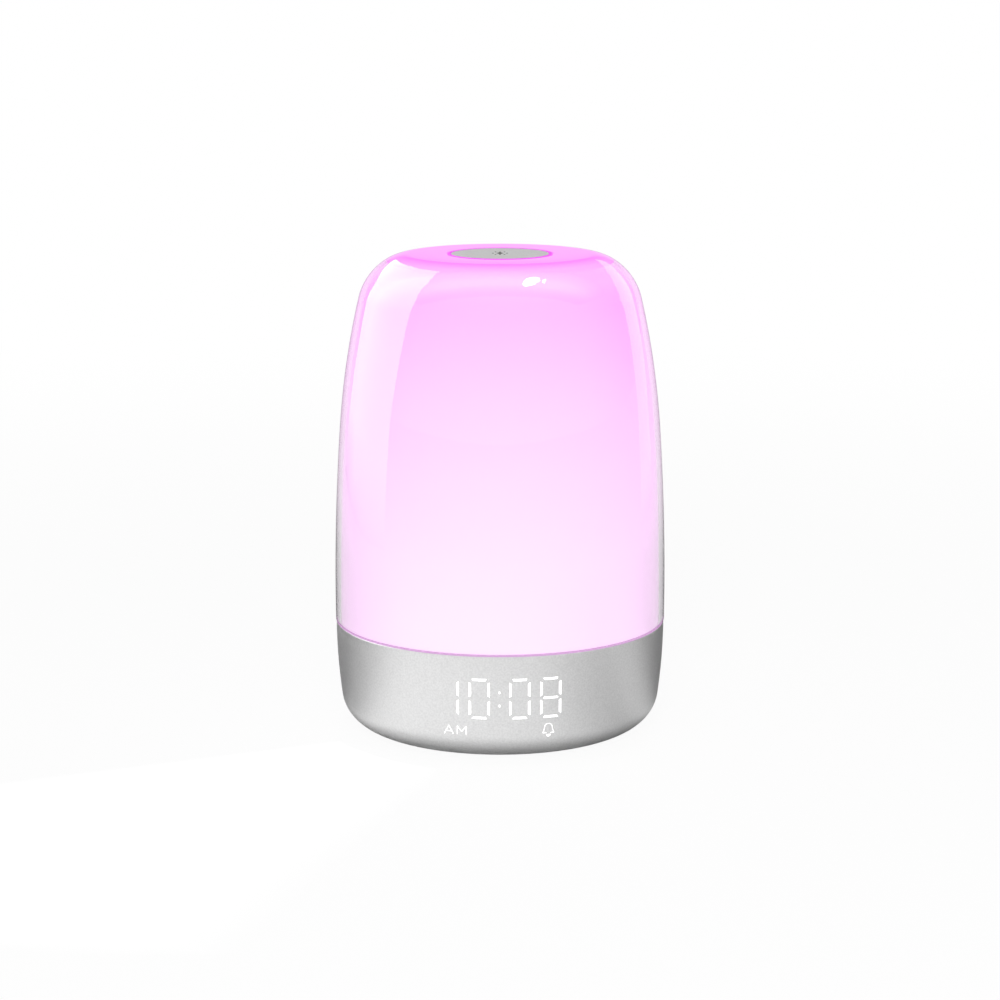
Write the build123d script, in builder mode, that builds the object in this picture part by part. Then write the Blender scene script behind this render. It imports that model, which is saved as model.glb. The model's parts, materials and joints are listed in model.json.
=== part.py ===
from build123d import *

import math
import os

# Sleep trainer clock: a clear dome over an opal diffuser, on a silver bowl with a clock display behind
# its skin, a press button in the crown, and four keys and a power inlet at the back.
# Millimetres, +Z up, the front looks along -Y, the origin is on the floor under the middle.

os.makedirs("parts", exist_ok=True)

# Overall sizes
overall_diameter = 105.0
seam_height = 35.0  # floor to the joint between bowl and dome
dome_height = 116.4  # joint to the flat crown
foot_height = 1.0

# Dome outline: tangent arcs that lean in more and more towards the crown
belly_rise = 8.4  # the widest point stands this far above the joint
lean_low = 4.1  # degrees from upright where the lower wall ends
lean_high = 13.3
lean_shoulder = 55.7
upper_wall_radius = 256.0
shoulder_radius = 18.9
crown_radius = 14.3
dome_wall = 1.6
diffuser_gap = 0.2
diffuser_wall = 1.6

# Bowl outline
seam_step = 0.15  # the dome stands this far proud of the bowl
base_lean = 7.6
corner_radius = 11.4
base_wall = 2.2
window_skin = 1.0  # wall left in front of the display

# Bottom cover and what screws to it
cover_thickness = 2.0
cover_margin = 2.2  # flat rim of the bowl left around the cover
cover_clearance = 0.15
ledge_width = 2.6
ledge_thickness = 1.6
foot_radius = 4.0
foot_recess = 0.6
foot_inset = 2.0  # rim of cover left outside a foot
screw_radius = 1.3
screw_head_radius = 2.7
screw_head_height = 1.1
screw_clearance = 0.25
thread_clearance = 0.05
screw_bite = 9.0
grille_hole_radius = 1.25
grille_pitch = 3.9
grille_margin = 1.5  # speaker's mouth in to the outer holes

# Light tray
flange_thickness = 0.4
spigot_depth = 4.0
spigot_clearance = 0.15
tray_floor = 2.0
lip_height = 3.5
lip_thickness = 1.3
lip_clearance = 0.3
dish_slope = 7.0
pillar_radius = 3.4
pillar_gap = 1.2
pillar_count = 4

# Lamp board
led_board_radius = 26.0
led_board_thickness = 1.6
led_count = 12
led_rim_gap = 9.0  # lamps in from the board's rim
led_side = 3.5
led_height = 1.4
led_screw_rim_gap = 3.5
led_screw_count = 3
small_screw_radius = 0.9
small_head_radius = 1.9
small_head_height = 1.2
small_screw_bite = 3.0
boss_wall = 1.5

# Switch post and crown button
post_radius = 3.5
post_wall = 1.0
post_foot_radius = 7.0
post_flange = 1.5
socket_wall = 1.2
socket_clearance = 0.15
lead_radius = 1.0
lead_clearance = 0.6
crown_board_radius = 9.0
crown_board_thickness = 1.2
bezel_radius = 16.4
bezel_wall = 0.95
bezel_clearance = 0.1
bezel_rise = 0.15  # the bezel stands this far above the crown
bezel_floor = 0.5
bezel_sleeve_radius = 13.0
bezel_sleeve_wall = 0.9
bezel_sleeve_length = 3.2
button_clearance = 0.2
button_rise = 0.2
button_travel = 0.8
button_stop_gap = 0.1
button_edge = 0.35
guide_wall = 1.2
barb_height = 1.0
barb_reach = 0.8
barb_span = 30.0  # degrees
barb_count = 3
barb_gap = 0.1
stem_radius = 2.2

# Tact switches
switch_side = 6.0
switch_height = 3.4
plunger_radius = 1.7
plunger_clearance = 0.1
plunger_rise = 1.4
plunger_seat = 0.5  # length of plunger left inside its switch at rest

# Keys at the back
key_angles = {"minus": -34.0, "clock": -18.0, "alarm": 18.0, "plus": 34.0}  # degrees from straight back
key_radius = 3.5
key_clearance = 0.2
key_rise = 0.5
key_travel = 0.5
key_flange = 0.8
key_flange_width = 0.8
key_flange_gap = 0.3
key_edge = 0.3
flex_thickness = 0.3
flex_height = 9.0
skirt_thickness = 1.5
skirt_gap = 1.9  # board's tongue to a skirt
skirt_reach = 8.0  # degrees past the outer key

# Main board
board_thickness = 1.6
board_height = 15.2  # bottom cover to the underside of the board
board_gap = 1.4
post_count = 4
stand_radius = 2.8
tongue_width = 12.0
tongue_gap = 0.4
pillar_hole_gap = 0.4
board_web = 1.1  # board left outside a pillar's hole
cell_radius = 6.25
cell_height = 2.0
cell_clearance = 0.15
holder_wall = 1.2
holder_floor = 0.8
holder_angle = 180.0
part_gap = 1.0  # board parts to the screw heads outside them
control_chip = (7.0, 7.0, 1.2)
amplifier = (5.0, 4.0, 1.5)
speaker_plug = (8.0, 4.0, 5.5)
lead_plug = (4.0, 3.2, 4.0)
part_angles = {0.0: control_chip, 110.0: amplifier, 70.0: speaker_plug}  # degrees from +X
capacitor_angles = (250.0, 290.0)
capacitor_radius = 3.0
capacitor_height = 7.0

# Power inlet
inlet_width = 8.94
inlet_height = 3.26
inlet_depth = 7.3
inlet_wall = 0.3
inlet_clearance = 0.3
inlet_recess = 0.3  # the inlet stands this far inside the bowl's skin
tongue_blade = (6.7, 0.7)
tongue_setback = 0.9

# Speaker
speaker_radius = 14.0
speaker_flange_width = 3.0
speaker_flange = 1.0
speaker_gasket_thickness = 0.6
speaker_depth = 6.0
basket_wall = 0.8
basket_windows = 4
basket_window_span = 50.0  # degrees
magnet_radius = 8.0
magnet_height = 5.5
cone_thickness = 0.5
cone_gap = 0.6
coil_radius = 4.0
cap_sag = 1.6
speaker_clearance = 0.2
ring_wall = 1.5
retainer_thickness = 1.2
ear_radius = 2.6
ear_angles = (67.5, 202.5, 337.5)

# Clock display
digit_height = 13.6
digit_width = 6.7
digit_pitch = 9.45
colon_room = 3.05  # added between the two pairs of digits
digit_count = 4
digit_top_drop = 6.4  # joint down to the top of the digits
segment_width = 0.9
segment_gap = 0.9
colon_rise = 2.2
sign_window = (5.0, 4.2)
sign_drop = 2.9  # digits down to the middle of the signs
sign_places = (-13.6, 14.8)
lightbox_width = 44.0
lightbox_margin = 0.6
lightbox_depth = 4.5  # at the ends of its bowed front
lightbox_clearance = 0.3
display_ear = 5.0
display_thickness = 1.6
display_led = (1.2, 0.7)
display_led_height = 0.5
lug_thickness = 3.5
lug_width = 5.0


def point_on(arc, inset, angle):
    """The point (r, z) at an angle on an arc of a wall, moved inwards by inset."""
    centre_r, centre_z, radius, _, _ = arc
    along = math.radians(angle)
    return (centre_r + (radius - inset) * math.cos(along), centre_z + (radius - inset) * math.sin(along))


def angle_at(arc, inset, z):
    """The angle on an arc of a wall where it reaches a height."""
    _, centre_z, radius, _, _ = arc
    return math.degrees(math.asin((z - centre_z) / (radius - inset)))


def arc_chain(widest, bends, turn):
    """Tangent arcs that start upright at the widest point: (centre r, centre z, radius, from, to) each."""
    arcs = []
    centre_r, centre_z = widest[0] - bends[0][0], widest[1]
    start, last_radius = 0.0, bends[0][0]
    for radius, lean in bends:
        centre_r += (last_radius - radius) * math.cos(math.radians(start))
        centre_z += (last_radius - radius) * math.sin(math.radians(start))
        arcs.append((centre_r, centre_z, radius, start, turn * lean))
        start, last_radius = turn * lean, radius
    return arcs


def wall_ends(arcs, inset, z_first, z_last=None):
    """First and last angle of a wall that starts at one height and ends at another, or at its flat."""
    last = arcs[-1][4] if z_last is None else angle_at(arcs[-1], inset, z_last)
    return angle_at(arcs[0], inset, z_first), last


def draw_wall(arcs, inset, z_first, z_last=None):
    """Draws a wall's outline into the line being built."""
    first, last = wall_ends(arcs, inset, z_first, z_last)
    for number, (centre_r, centre_z, radius, start, end) in enumerate(arcs):
        start = first if number == 0 else start
        end = last if number == len(arcs) - 1 else end
        CenterArc((centre_r, centre_z), radius - inset, start, end - start)


def wall_radius(arcs, inset, z):
    """Radius of a wall at a height."""
    for arc in arcs:
        radius, height = point_on(arc, inset, arc[4])
        if (height - z) * (1 if arc[4] > 0 else -1) >= 0:
            return point_on(arc, inset, angle_at(arc, inset, z))[0]
    return radius


def sine(degrees):
    return math.sin(math.radians(degrees))


# Dome and bowl walls as arcs
seam_z = seam_height
crown_z = seam_z + dome_height
base_bottom = foot_height
lower_wall_radius = (
    dome_height
    - belly_rise
    - upper_wall_radius * (sine(lean_high) - sine(lean_low))
    - shoulder_radius * (sine(lean_shoulder) - sine(lean_high))
    - crown_radius * (1 - sine(lean_shoulder))
) / sine(lean_low)
dome_arcs = arc_chain(
    (overall_diameter / 2, seam_z + belly_rise),
    [
        (lower_wall_radius, lean_low),
        (upper_wall_radius, lean_high),
        (shoulder_radius, lean_shoulder),
        (crown_radius, 90.0),
    ],
    1,
)
dome_seam_radius = wall_radius(dome_arcs, 0, seam_z)
base_seam_radius = dome_seam_radius - seam_step
base_depth = seam_z - base_bottom
base_wall_radius = (base_depth - corner_radius * (1 - sine(base_lean))) / sine(base_lean)
base_arcs = arc_chain((base_seam_radius, seam_z), [(base_wall_radius, base_lean), (corner_radius, 90.0)], -1)
base_flat_radius = base_arcs[-1][0]
crown_flat_radius = dome_arcs[-1][0]

# Heights from the bottom up
cover_top = base_bottom + cover_thickness
ledge_top = cover_top + ledge_thickness
board_bottom = cover_top + board_height
board_top = board_bottom + board_thickness
key_row_z = board_top + inlet_height / 2
tray_bottom = seam_z - spigot_depth
tray_top = tray_bottom + tray_floor
flange_top = seam_z + flange_thickness
led_board_top = tray_top + led_board_thickness
led_circle = led_board_radius - led_rim_gap
led_screw_circle = led_board_radius - led_screw_rim_gap

# Radii from the bowl inwards
cover_radius = base_flat_radius - cover_margin
ledge_radius = cover_radius - ledge_width
foot_circle = cover_radius - foot_inset - foot_radius
base_rim_radius = base_seam_radius - base_wall
spigot_radius = base_rim_radius - spigot_clearance
diffuser_inset = dome_wall + diffuser_gap
lip_radius = wall_radius(dome_arcs, diffuser_inset + diffuser_wall, flange_top) - lip_clearance
lip_inner = lip_radius - lip_thickness
dish_radius = lip_inner - dish_slope

flange_inner = speaker_radius - speaker_flange_width
grille_rings = int((flange_inner - grille_margin - grille_hole_radius) // grille_pitch)

# Crown button stack, from the crown down
bezel_seat = crown_z - diffuser_inset
bezel_floor_top = bezel_seat + bezel_floor
bezel_sleeve_end = bezel_seat - bezel_sleeve_length
button_top = crown_z + button_rise
button_under = bezel_floor_top + button_travel + button_stop_gap
button_radius = bezel_radius - bezel_wall - button_clearance
guide_radius = bezel_sleeve_radius - bezel_sleeve_wall - button_clearance
barb_top = bezel_sleeve_end - barb_gap
crown_plunger_top = barb_top
crown_switch_top = crown_plunger_top - plunger_rise
crown_board_top = crown_switch_top - switch_height
crown_board_bottom = crown_board_top - crown_board_thickness

# Keys, from the bowl's skin inwards along each key's own line
key_skin = wall_radius(base_arcs, base_wall, key_row_z)
key_flange_front = math.sqrt(key_skin**2 - (key_radius + key_flange_width) ** 2) - key_flange_gap
key_back = key_flange_front - key_flange
key_switch_front = key_back - plunger_rise
key_switch_back = key_switch_front - switch_height
skirt_radius = key_switch_back - flex_thickness
skirt_start = math.degrees(math.asin((tongue_width / 2 + skirt_gap) / (skirt_radius - skirt_thickness)))
skirt_size = max(key_angles.values()) + skirt_reach - skirt_start

# Display, from the bowl's skin inwards
digit_top = seam_z - digit_top_drop
digit_bottom = digit_top - digit_height
sign_z = digit_bottom - sign_drop
lightbox_top = tray_bottom - lightbox_margin
lightbox_bottom = sign_z - sign_window[1] / 2 - lightbox_margin
lightbox_front = wall_radius(base_arcs, base_wall, lightbox_bottom) - lightbox_clearance
display_front = lightbox_depth - math.sqrt(lightbox_front**2 - (lightbox_width / 2) ** 2)
display_back = display_front + display_thickness
display_width = lightbox_width + 2 * display_ear
display_screw_x = (lightbox_width + display_ear) / 2
display_screw_z = (lightbox_top + lightbox_bottom) / 2
main_board_radius = -display_back - board_gap
pillar_circle = min(ledge_radius - pillar_gap, main_board_radius - board_web - pillar_hole_gap) - pillar_radius
stand_circle = main_board_radius - stand_radius - board_gap
part_limit = stand_circle - small_head_radius - part_gap
holder_radius = cell_radius + cell_clearance + holder_wall


def key_plane(angle):
    """Plane across a key's line of travel, on the axis of the bowl, facing out at an angle from the back."""
    side, back = math.sin(math.radians(angle)), math.cos(math.radians(angle))
    return Plane(origin=(0, 0, key_row_z), x_dir=(-back, side, 0), z_dir=(side, back, 0))


def board_place(angle, reach):
    """Place on the main board, at an angle from +X, of a part that reaches this far around its middle."""
    return Vector(part_limit - reach, 0).rotate(Axis.Z, angle)


def dome_shell(outer_inset, inner_inset, foot_z, hole_radius):
    """Turns a shell between two insets of the dome's outline, with a round hole in its crown."""
    outer_foot = point_on(dome_arcs[0], outer_inset, angle_at(dome_arcs[0], outer_inset, foot_z))
    inner_foot = point_on(dome_arcs[0], inner_inset, angle_at(dome_arcs[0], inner_inset, foot_z))
    with BuildSketch(Plane.XZ) as section:
        with BuildLine():
            draw_wall(dome_arcs, outer_inset, foot_z)
            draw_wall(dome_arcs, inner_inset, foot_z)
            Line(outer_foot, inner_foot)
            Polyline(
                (crown_flat_radius, crown_z - outer_inset),
                (hole_radius, crown_z - outer_inset),
                (hole_radius, crown_z - inner_inset),
                (crown_flat_radius, crown_z - inner_inset),
            )
        make_face()
    revolve(section.sketch, axis=Axis.Z)


def base_core(inset):
    """The solid inside the bowl's skin, at a depth below it (above it where the inset is negative)."""
    rim = point_on(base_arcs[0], inset, angle_at(base_arcs[0], inset, seam_z))
    with BuildPart() as core:
        with BuildSketch(Plane.XZ):
            with BuildLine():
                draw_wall(base_arcs, inset, seam_z)
                Polyline((base_flat_radius, base_bottom + inset), (0, base_bottom + inset), (0, seam_z), rim)
            make_face()
        revolve(axis=Axis.Z)
    return core.part


def ring_sector(inner, outer, middle, size):
    """Draws a sector of a flat ring about the middle of the sketch, in degrees from +X."""
    start = middle - size / 2
    with BuildLine() as outline:
        CenterArc((0, 0), outer, start, size)
        CenterArc((0, 0), inner, start, size)
        for angle in (start, start + size):
            along = Vector(1, 0).rotate(Axis.Z, angle)
            Line(along * inner, along * outer)
    make_face(outline.edges())


def turned(points):
    """Turns a closed outline of (r, z) points about the axis."""
    with BuildSketch(Plane.XZ) as section:
        with BuildLine():
            Polyline(*points, close=True)
        make_face()
    revolve(section.sketch, axis=Axis.Z)


def finish(part, name):
    """Labels a finished piece and writes it."""
    part.label = name
    export_step(part, f"parts/{name}.step")


# Bowl: satin skin, thinned from inside in front of the display
window_middle = (lightbox_top + lightbox_bottom) / 2
with BuildPart() as display_window:
    with BuildSketch(Plane.XZ):
        with Locations((0, window_middle)):
            Rectangle(lightbox_width, lightbox_top - lightbox_bottom)
    extrude(amount=overall_diameter / 2)
    add(base_core(window_skin), mode=Mode.INTERSECT)

with BuildPart() as base_shell:
    with BuildSketch(Plane.XZ):
        with BuildLine():
            draw_wall(base_arcs, 0, seam_z)
            draw_wall(base_arcs, base_wall, seam_z, ledge_top)
            Line((base_seam_radius, seam_z), (base_rim_radius, seam_z))
            Polyline(
                (base_flat_radius, base_bottom),
                (cover_radius, base_bottom),
                (cover_radius, cover_top),
                (ledge_radius, cover_top),
                (ledge_radius, ledge_top),
                (wall_radius(base_arcs, base_wall, ledge_top), ledge_top),
            )
        make_face()
    revolve(axis=Axis.Z)
    add(display_window.part, mode=Mode.SUBTRACT)
    for angle in key_angles.values():
        with BuildSketch(key_plane(angle)):
            Circle(key_radius + key_clearance)
        extrude(amount=overall_diameter, mode=Mode.SUBTRACT)
    with BuildSketch(key_plane(0)):
        SlotOverall(inlet_width + 2 * inlet_clearance, inlet_height + 2 * inlet_clearance)
    extrude(amount=overall_diameter, mode=Mode.SUBTRACT)
finish(base_shell.part, "base_shell")

# Bottom cover: speaker grille, stands for the main board, seats for feet and screws
stand_pilot = small_screw_radius + thread_clearance
ring_inner = speaker_radius + speaker_clearance
ring_outer = ring_inner + ring_wall
ring_top = cover_top + speaker_gasket_thickness + speaker_flange
ear_circle = ring_outer + ear_radius - ring_wall / 2
with BuildPart() as bottom_cover:
    with BuildSketch(Plane.XY.offset(base_bottom)):
        Circle(cover_radius - cover_clearance)
    extrude(amount=cover_thickness)
    with BuildSketch(Plane.XY.offset(cover_top)):
        Circle(ring_outer)
        for angle in ear_angles:
            with Locations(Vector(ear_circle, 0).rotate(Axis.Z, angle)):
                Circle(ear_radius)
        Circle(ring_inner, mode=Mode.SUBTRACT)
    extrude(amount=ring_top - cover_top)
    with BuildSketch(Plane.XY.offset(cover_top)):
        with PolarLocations(stand_circle, post_count):
            Circle(stand_radius)
    extrude(amount=board_height)
    with BuildSketch(Plane.XY.offset(board_bottom)):
        with PolarLocations(stand_circle, post_count):
            Circle(stand_pilot)
    extrude(amount=-small_screw_bite, mode=Mode.SUBTRACT)
    with BuildSketch(Plane.XY.offset(ring_top)):
        for angle in ear_angles:
            with Locations(Vector(ear_circle, 0).rotate(Axis.Z, angle)):
                Circle(stand_pilot)
    extrude(amount=-small_screw_bite, mode=Mode.SUBTRACT)
    with Locations(Plane((0, 0, base_bottom), z_dir=(0, 0, -1))):
        with PolarLocations(pillar_circle, pillar_count, start_angle=180 / pillar_count):
            CounterBoreHole(
                screw_radius + screw_clearance,
                screw_head_radius + screw_clearance,
                screw_head_height,
                cover_thickness,
            )
    with BuildSketch(Plane.XY.offset(base_bottom)):
        with PolarLocations(foot_circle, post_count):
            Circle(foot_radius + cover_clearance)
    extrude(amount=foot_recess, mode=Mode.SUBTRACT)
    with BuildSketch(Plane.XY.offset(base_bottom)):
        Circle(grille_hole_radius)
        for ring in range(1, grille_rings + 1):
            with PolarLocations(ring * grille_pitch, 6 * ring):
                Circle(grille_hole_radius)
    extrude(amount=cover_thickness, mode=Mode.SUBTRACT)
finish(bottom_cover.part, "bottom_cover")

with BuildPart() as rubber_feet:
    with BuildSketch(Plane.XY):
        with PolarLocations(foot_circle, post_count):
            Circle(foot_radius)
    extrude(amount=foot_height + foot_recess)
    chamfer(rubber_feet.edges().group_by(Axis.Z)[0], foot_height / 3)
finish(rubber_feet.part, "rubber_feet")

with BuildPart() as cover_screws:
    for start, radius, length in (
        (base_bottom, screw_head_radius, screw_head_height),
        (base_bottom + screw_head_height, screw_radius, cover_thickness - screw_head_height + screw_bite),
    ):
        with BuildSketch(Plane.XY.offset(start)):
            with PolarLocations(pillar_circle, pillar_count, start_angle=180 / pillar_count):
                Circle(radius)
        extrude(amount=length)
finish(cover_screws.part, "cover_screws")

# Light tray: white dish whose flange edge shows as the line between bowl and dome
lug_bottom = display_screw_z - small_screw_radius - boss_wall
socket_radius = post_foot_radius + socket_clearance
with BuildPart() as light_tray:
    turned(
        [
            (lead_radius + lead_clearance, tray_bottom),
            (spigot_radius, tray_bottom),
            (spigot_radius, seam_z),
            (base_seam_radius, seam_z),
            (base_seam_radius, flange_top),
            (lip_radius, flange_top),
            (lip_radius, flange_top + lip_height),
            (lip_inner, flange_top + lip_height),
            (dish_radius, tray_top),
            (lead_radius + lead_clearance, tray_top),
        ]
    )
    with BuildSketch(Plane.XY.offset(tray_bottom)):
        with PolarLocations(pillar_circle, pillar_count, start_angle=180 / pillar_count):
            Circle(pillar_radius)
    extrude(amount=cover_top - tray_bottom)
    with BuildSketch(Plane.XY.offset(cover_top)):
        with PolarLocations(pillar_circle, pillar_count, start_angle=180 / pillar_count):
            Circle(screw_radius + thread_clearance)
    extrude(amount=screw_bite + screw_clearance, mode=Mode.SUBTRACT)
    with BuildSketch(Plane.XY.offset(tray_bottom)):
        for side in (-1, 1):
            middle = 90 + side * (skirt_start + skirt_size / 2)
            ring_sector(skirt_radius - skirt_thickness, skirt_radius, middle, skirt_size)
    extrude(amount=key_row_z - flex_height / 2 - tray_bottom)
    with BuildSketch(Plane.XY.offset(tray_bottom)):
        with Locations(*[(side * display_screw_x, display_back + lug_thickness / 2) for side in (-1, 1)]):
            Rectangle(lug_width, lug_thickness)
    extrude(amount=lug_bottom - tray_bottom)
    with BuildSketch(Plane.XY.offset(tray_bottom)):
        with PolarLocations(led_screw_circle, led_screw_count, start_angle=90):
            Circle(small_screw_radius + boss_wall)
    extrude(amount=tray_floor - small_screw_bite - boss_wall)
    with BuildSketch(Plane.XY.offset(tray_top)):
        Circle(socket_radius + socket_wall)
        Circle(socket_radius, mode=Mode.SUBTRACT)
    extrude(amount=post_flange)
    with BuildSketch(Plane.XY.offset(tray_top)):
        with PolarLocations(led_screw_circle, led_screw_count, start_angle=90):
            Circle(small_screw_radius + thread_clearance)
    extrude(amount=-small_screw_bite - screw_clearance, mode=Mode.SUBTRACT)
    with BuildSketch(Plane.XZ.offset(-display_back)):
        with Locations(*[(side * display_screw_x, display_screw_z) for side in (-1, 1)]):
            Circle(small_screw_radius + thread_clearance)
    extrude(amount=-lug_thickness, mode=Mode.SUBTRACT)
finish(light_tray.part, "light_tray")

# Dome and diffuser stand on the tray's flange
with BuildPart() as outer_dome:
    dome_shell(0, dome_wall, flange_top, bezel_radius + bezel_clearance)
finish(outer_dome.part, "outer_dome")

with BuildPart() as inner_diffuser:
    dome_shell(
        diffuser_inset,
        diffuser_inset + diffuser_wall,
        flange_top,
        bezel_sleeve_radius + bezel_clearance,
    )
finish(inner_diffuser.part, "inner_diffuser")

# Lamp board with its ring of lamps
with BuildPart() as led_board:
    with BuildSketch(Plane.XY.offset(tray_top)):
        Circle(led_board_radius)
        Circle(socket_radius + socket_wall + socket_clearance, mode=Mode.SUBTRACT)
        with PolarLocations(led_screw_circle, led_screw_count, start_angle=90):
            Circle(small_screw_radius + screw_clearance, mode=Mode.SUBTRACT)
    extrude(amount=led_board_thickness)
finish(led_board.part, "led_board")

with BuildPart() as led_chips:
    with BuildSketch(Plane.XY.offset(led_board_top)):
        with PolarLocations(led_circle, led_count):
            Rectangle(led_side, led_side)
    extrude(amount=led_height)
finish(led_chips.part, "led_chips")

with BuildPart() as led_screws:
    for start, radius, length in (
        (led_board_top, small_head_radius, small_head_height),
        (led_board_top, small_screw_radius, -led_board_thickness - small_screw_bite),
    ):
        with BuildSketch(Plane.XY.offset(start)):
            with PolarLocations(led_screw_circle, led_screw_count, start_angle=90):
                Circle(radius)
        extrude(amount=length)
finish(led_screws.part, "led_screws")

# Clear post that carries the crown switch, and the lead inside it
with BuildPart() as switch_post:
    turned(
        [
            (post_radius - post_wall, tray_top),
            (post_foot_radius, tray_top),
            (post_foot_radius, tray_top + post_flange),
            (post_radius, tray_top + post_flange),
            (post_radius, crown_board_bottom - post_flange),
            (crown_board_radius, crown_board_bottom - post_flange),
            (crown_board_radius, crown_board_bottom),
            (post_radius - post_wall, crown_board_bottom),
        ]
    )
finish(switch_post.part, "switch_post")

with BuildPart() as switch_lead:
    with BuildSketch(Plane.XY.offset(board_top + lead_plug[2])):
        Circle(lead_radius)
    extrude(amount=crown_board_bottom - board_top - lead_plug[2])
finish(switch_lead.part, "switch_lead")

with BuildPart() as switch_board:
    with BuildSketch(Plane.XY.offset(crown_board_bottom)):
        Circle(crown_board_radius)
    extrude(amount=crown_board_thickness)
finish(switch_board.part, "switch_board")


def tact_switch(plane, travel):
    """A switch body on a plane, with the well that its plunger sinks into."""
    with BuildSketch(plane) as body:
        Rectangle(switch_side, switch_side)
    extrude(body.sketch, amount=switch_height)
    with BuildSketch(plane.offset(switch_height)) as well:
        Circle(plunger_radius + plunger_clearance)
    extrude(well.sketch, amount=-plunger_seat - travel - plunger_clearance, mode=Mode.SUBTRACT)


def plunger(plane):
    """The plunger of a switch whose back lies on a plane."""
    with BuildSketch(plane.offset(switch_height - plunger_seat)) as rod:
        Circle(plunger_radius)
    extrude(rod.sketch, amount=plunger_seat + plunger_rise)


crown_switch_plane = Plane.XY.offset(crown_board_top)
with BuildPart() as crown_switch:
    tact_switch(crown_switch_plane, button_travel)
finish(crown_switch.part, "crown_switch")

with BuildPart() as crown_plunger:
    plunger(crown_switch_plane)
finish(crown_plunger.part, "crown_plunger")

# Crown button: translucent bezel in the dome's hole, silver cap with a snap guide
with BuildPart() as button_bezel:
    turned(
        [
            (bezel_sleeve_radius - bezel_sleeve_wall, bezel_sleeve_end),
            (bezel_sleeve_radius, bezel_sleeve_end),
            (bezel_sleeve_radius, bezel_seat),
            (bezel_radius, bezel_seat),
            (bezel_radius, crown_z + bezel_rise),
            (bezel_radius - bezel_wall, crown_z + bezel_rise),
            (bezel_radius - bezel_wall, bezel_floor_top),
            (bezel_sleeve_radius - bezel_sleeve_wall, bezel_floor_top),
        ]
    )
finish(button_bezel.part, "button_bezel")

with BuildPart() as light_button:
    with BuildSketch(Plane.XY.offset(button_under)):
        Circle(button_radius)
    extrude(amount=button_top - button_under)
    fillet(light_button.edges().group_by(Axis.Z)[-1], button_edge)
    with BuildSketch(Plane.XY.offset(button_under)):
        Circle(guide_radius)
        Circle(guide_radius - guide_wall, mode=Mode.SUBTRACT)
    extrude(amount=barb_top - button_under)
    with BuildSketch(Plane.XY.offset(barb_top)):
        for number in range(barb_count):
            middle = number * 360 / barb_count
            ring_sector(guide_radius - guide_wall, guide_radius + barb_reach, middle, barb_span)
    extrude(amount=-barb_height)
    with BuildSketch(Plane.XY.offset(button_under)):
        Circle(stem_radius)
    extrude(amount=crown_plunger_top - button_under)
finish(light_button.part, "light_button")

# Keys at the back: caps bowed like the bowl, their plungers, switches and flexible circuit
for name, angle in key_angles.items():
    with BuildPart() as key_cap:
        with BuildSketch(key_plane(angle).offset(key_back)):
            Circle(key_radius)
        extrude(amount=overall_diameter / 2)
        add(base_core(-key_rise), mode=Mode.INTERSECT)
        outwards = Axis(key_plane(angle).origin, key_plane(angle).z_dir)
        fillet(key_cap.faces().sort_by(outwards)[-1].edges(), key_edge)
        with BuildSketch(key_plane(angle).offset(key_back)):
            Circle(key_radius + key_flange_width)
        extrude(amount=key_flange)
    finish(key_cap.part, f"{name}_key")

    with BuildPart() as key_plunger:
        plunger(key_plane(angle).offset(key_switch_back))
    finish(key_plunger.part, f"{name}_plunger")

with BuildPart() as key_switches:
    for angle in key_angles.values():
        tact_switch(key_plane(angle).offset(key_switch_back), key_travel)
finish(key_switches.part, "key_switches")

with BuildPart() as key_flex:
    with BuildSketch(Plane.XY.offset(key_row_z - flex_height / 2)):
        for side in (-1, 1):
            middle = 90 + side * (skirt_start + skirt_size / 2)
            ring_sector(skirt_radius, skirt_radius + flex_thickness, middle, skirt_size)
    extrude(amount=flex_height)
finish(key_flex.part, "key_flex")

# Main board with its tongue to the power inlet
inlet_mouth = wall_radius(base_arcs, 0, key_row_z) - inlet_recess
tongue_end = math.sqrt(key_skin**2 - (tongue_width / 2) ** 2) - tongue_gap
with BuildPart() as main_board:
    with BuildSketch(Plane.XY.offset(board_bottom)):
        Circle(main_board_radius)
        with Locations((0, tongue_end / 2)):
            Rectangle(tongue_width, tongue_end)
        with PolarLocations(pillar_circle, pillar_count, start_angle=180 / pillar_count):
            Circle(pillar_radius + pillar_hole_gap, mode=Mode.SUBTRACT)
        with PolarLocations(stand_circle, post_count):
            Circle(small_screw_radius + screw_clearance, mode=Mode.SUBTRACT)
    extrude(amount=board_thickness)
finish(main_board.part, "main_board")

with BuildPart() as board_screws:
    for radius, length in (
        (small_head_radius, small_head_height),
        (small_screw_radius, -board_thickness - small_screw_bite),
    ):
        with BuildSketch(Plane.XY.offset(board_top)):
            with PolarLocations(stand_circle, post_count):
                Circle(radius)
        extrude(amount=length)
finish(board_screws.part, "board_screws")

with BuildPart() as board_parts:
    with BuildSketch(Plane.XY.offset(board_top)):
        Rectangle(lead_plug[0], lead_plug[1])
    extrude(amount=lead_plug[2])
    for angle, (width, length, height) in part_angles.items():
        with BuildSketch(Plane.XY.offset(board_top)):
            with Locations(board_place(angle, math.hypot(width, length) / 2)):
                Rectangle(width, length)
        extrude(amount=height)
    with BuildSketch(Plane.XY.offset(board_top)):
        with Locations(*[board_place(angle, capacitor_radius) for angle in capacitor_angles]):
            Circle(capacitor_radius)
    extrude(amount=capacitor_height)
finish(board_parts.part, "board_parts")

holder_place = board_place(holder_angle, holder_radius)
with BuildPart() as cell_holder:
    with BuildSketch(Plane.XY.offset(board_top)):
        with Locations(holder_place):
            Circle(holder_radius)
    extrude(amount=holder_floor + cell_height)
    with BuildSketch(Plane.XY.offset(board_top + holder_floor)):
        with Locations(holder_place):
            Circle(cell_radius + cell_clearance)
    extrude(amount=cell_height, mode=Mode.SUBTRACT)
finish(cell_holder.part, "cell_holder")

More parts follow.
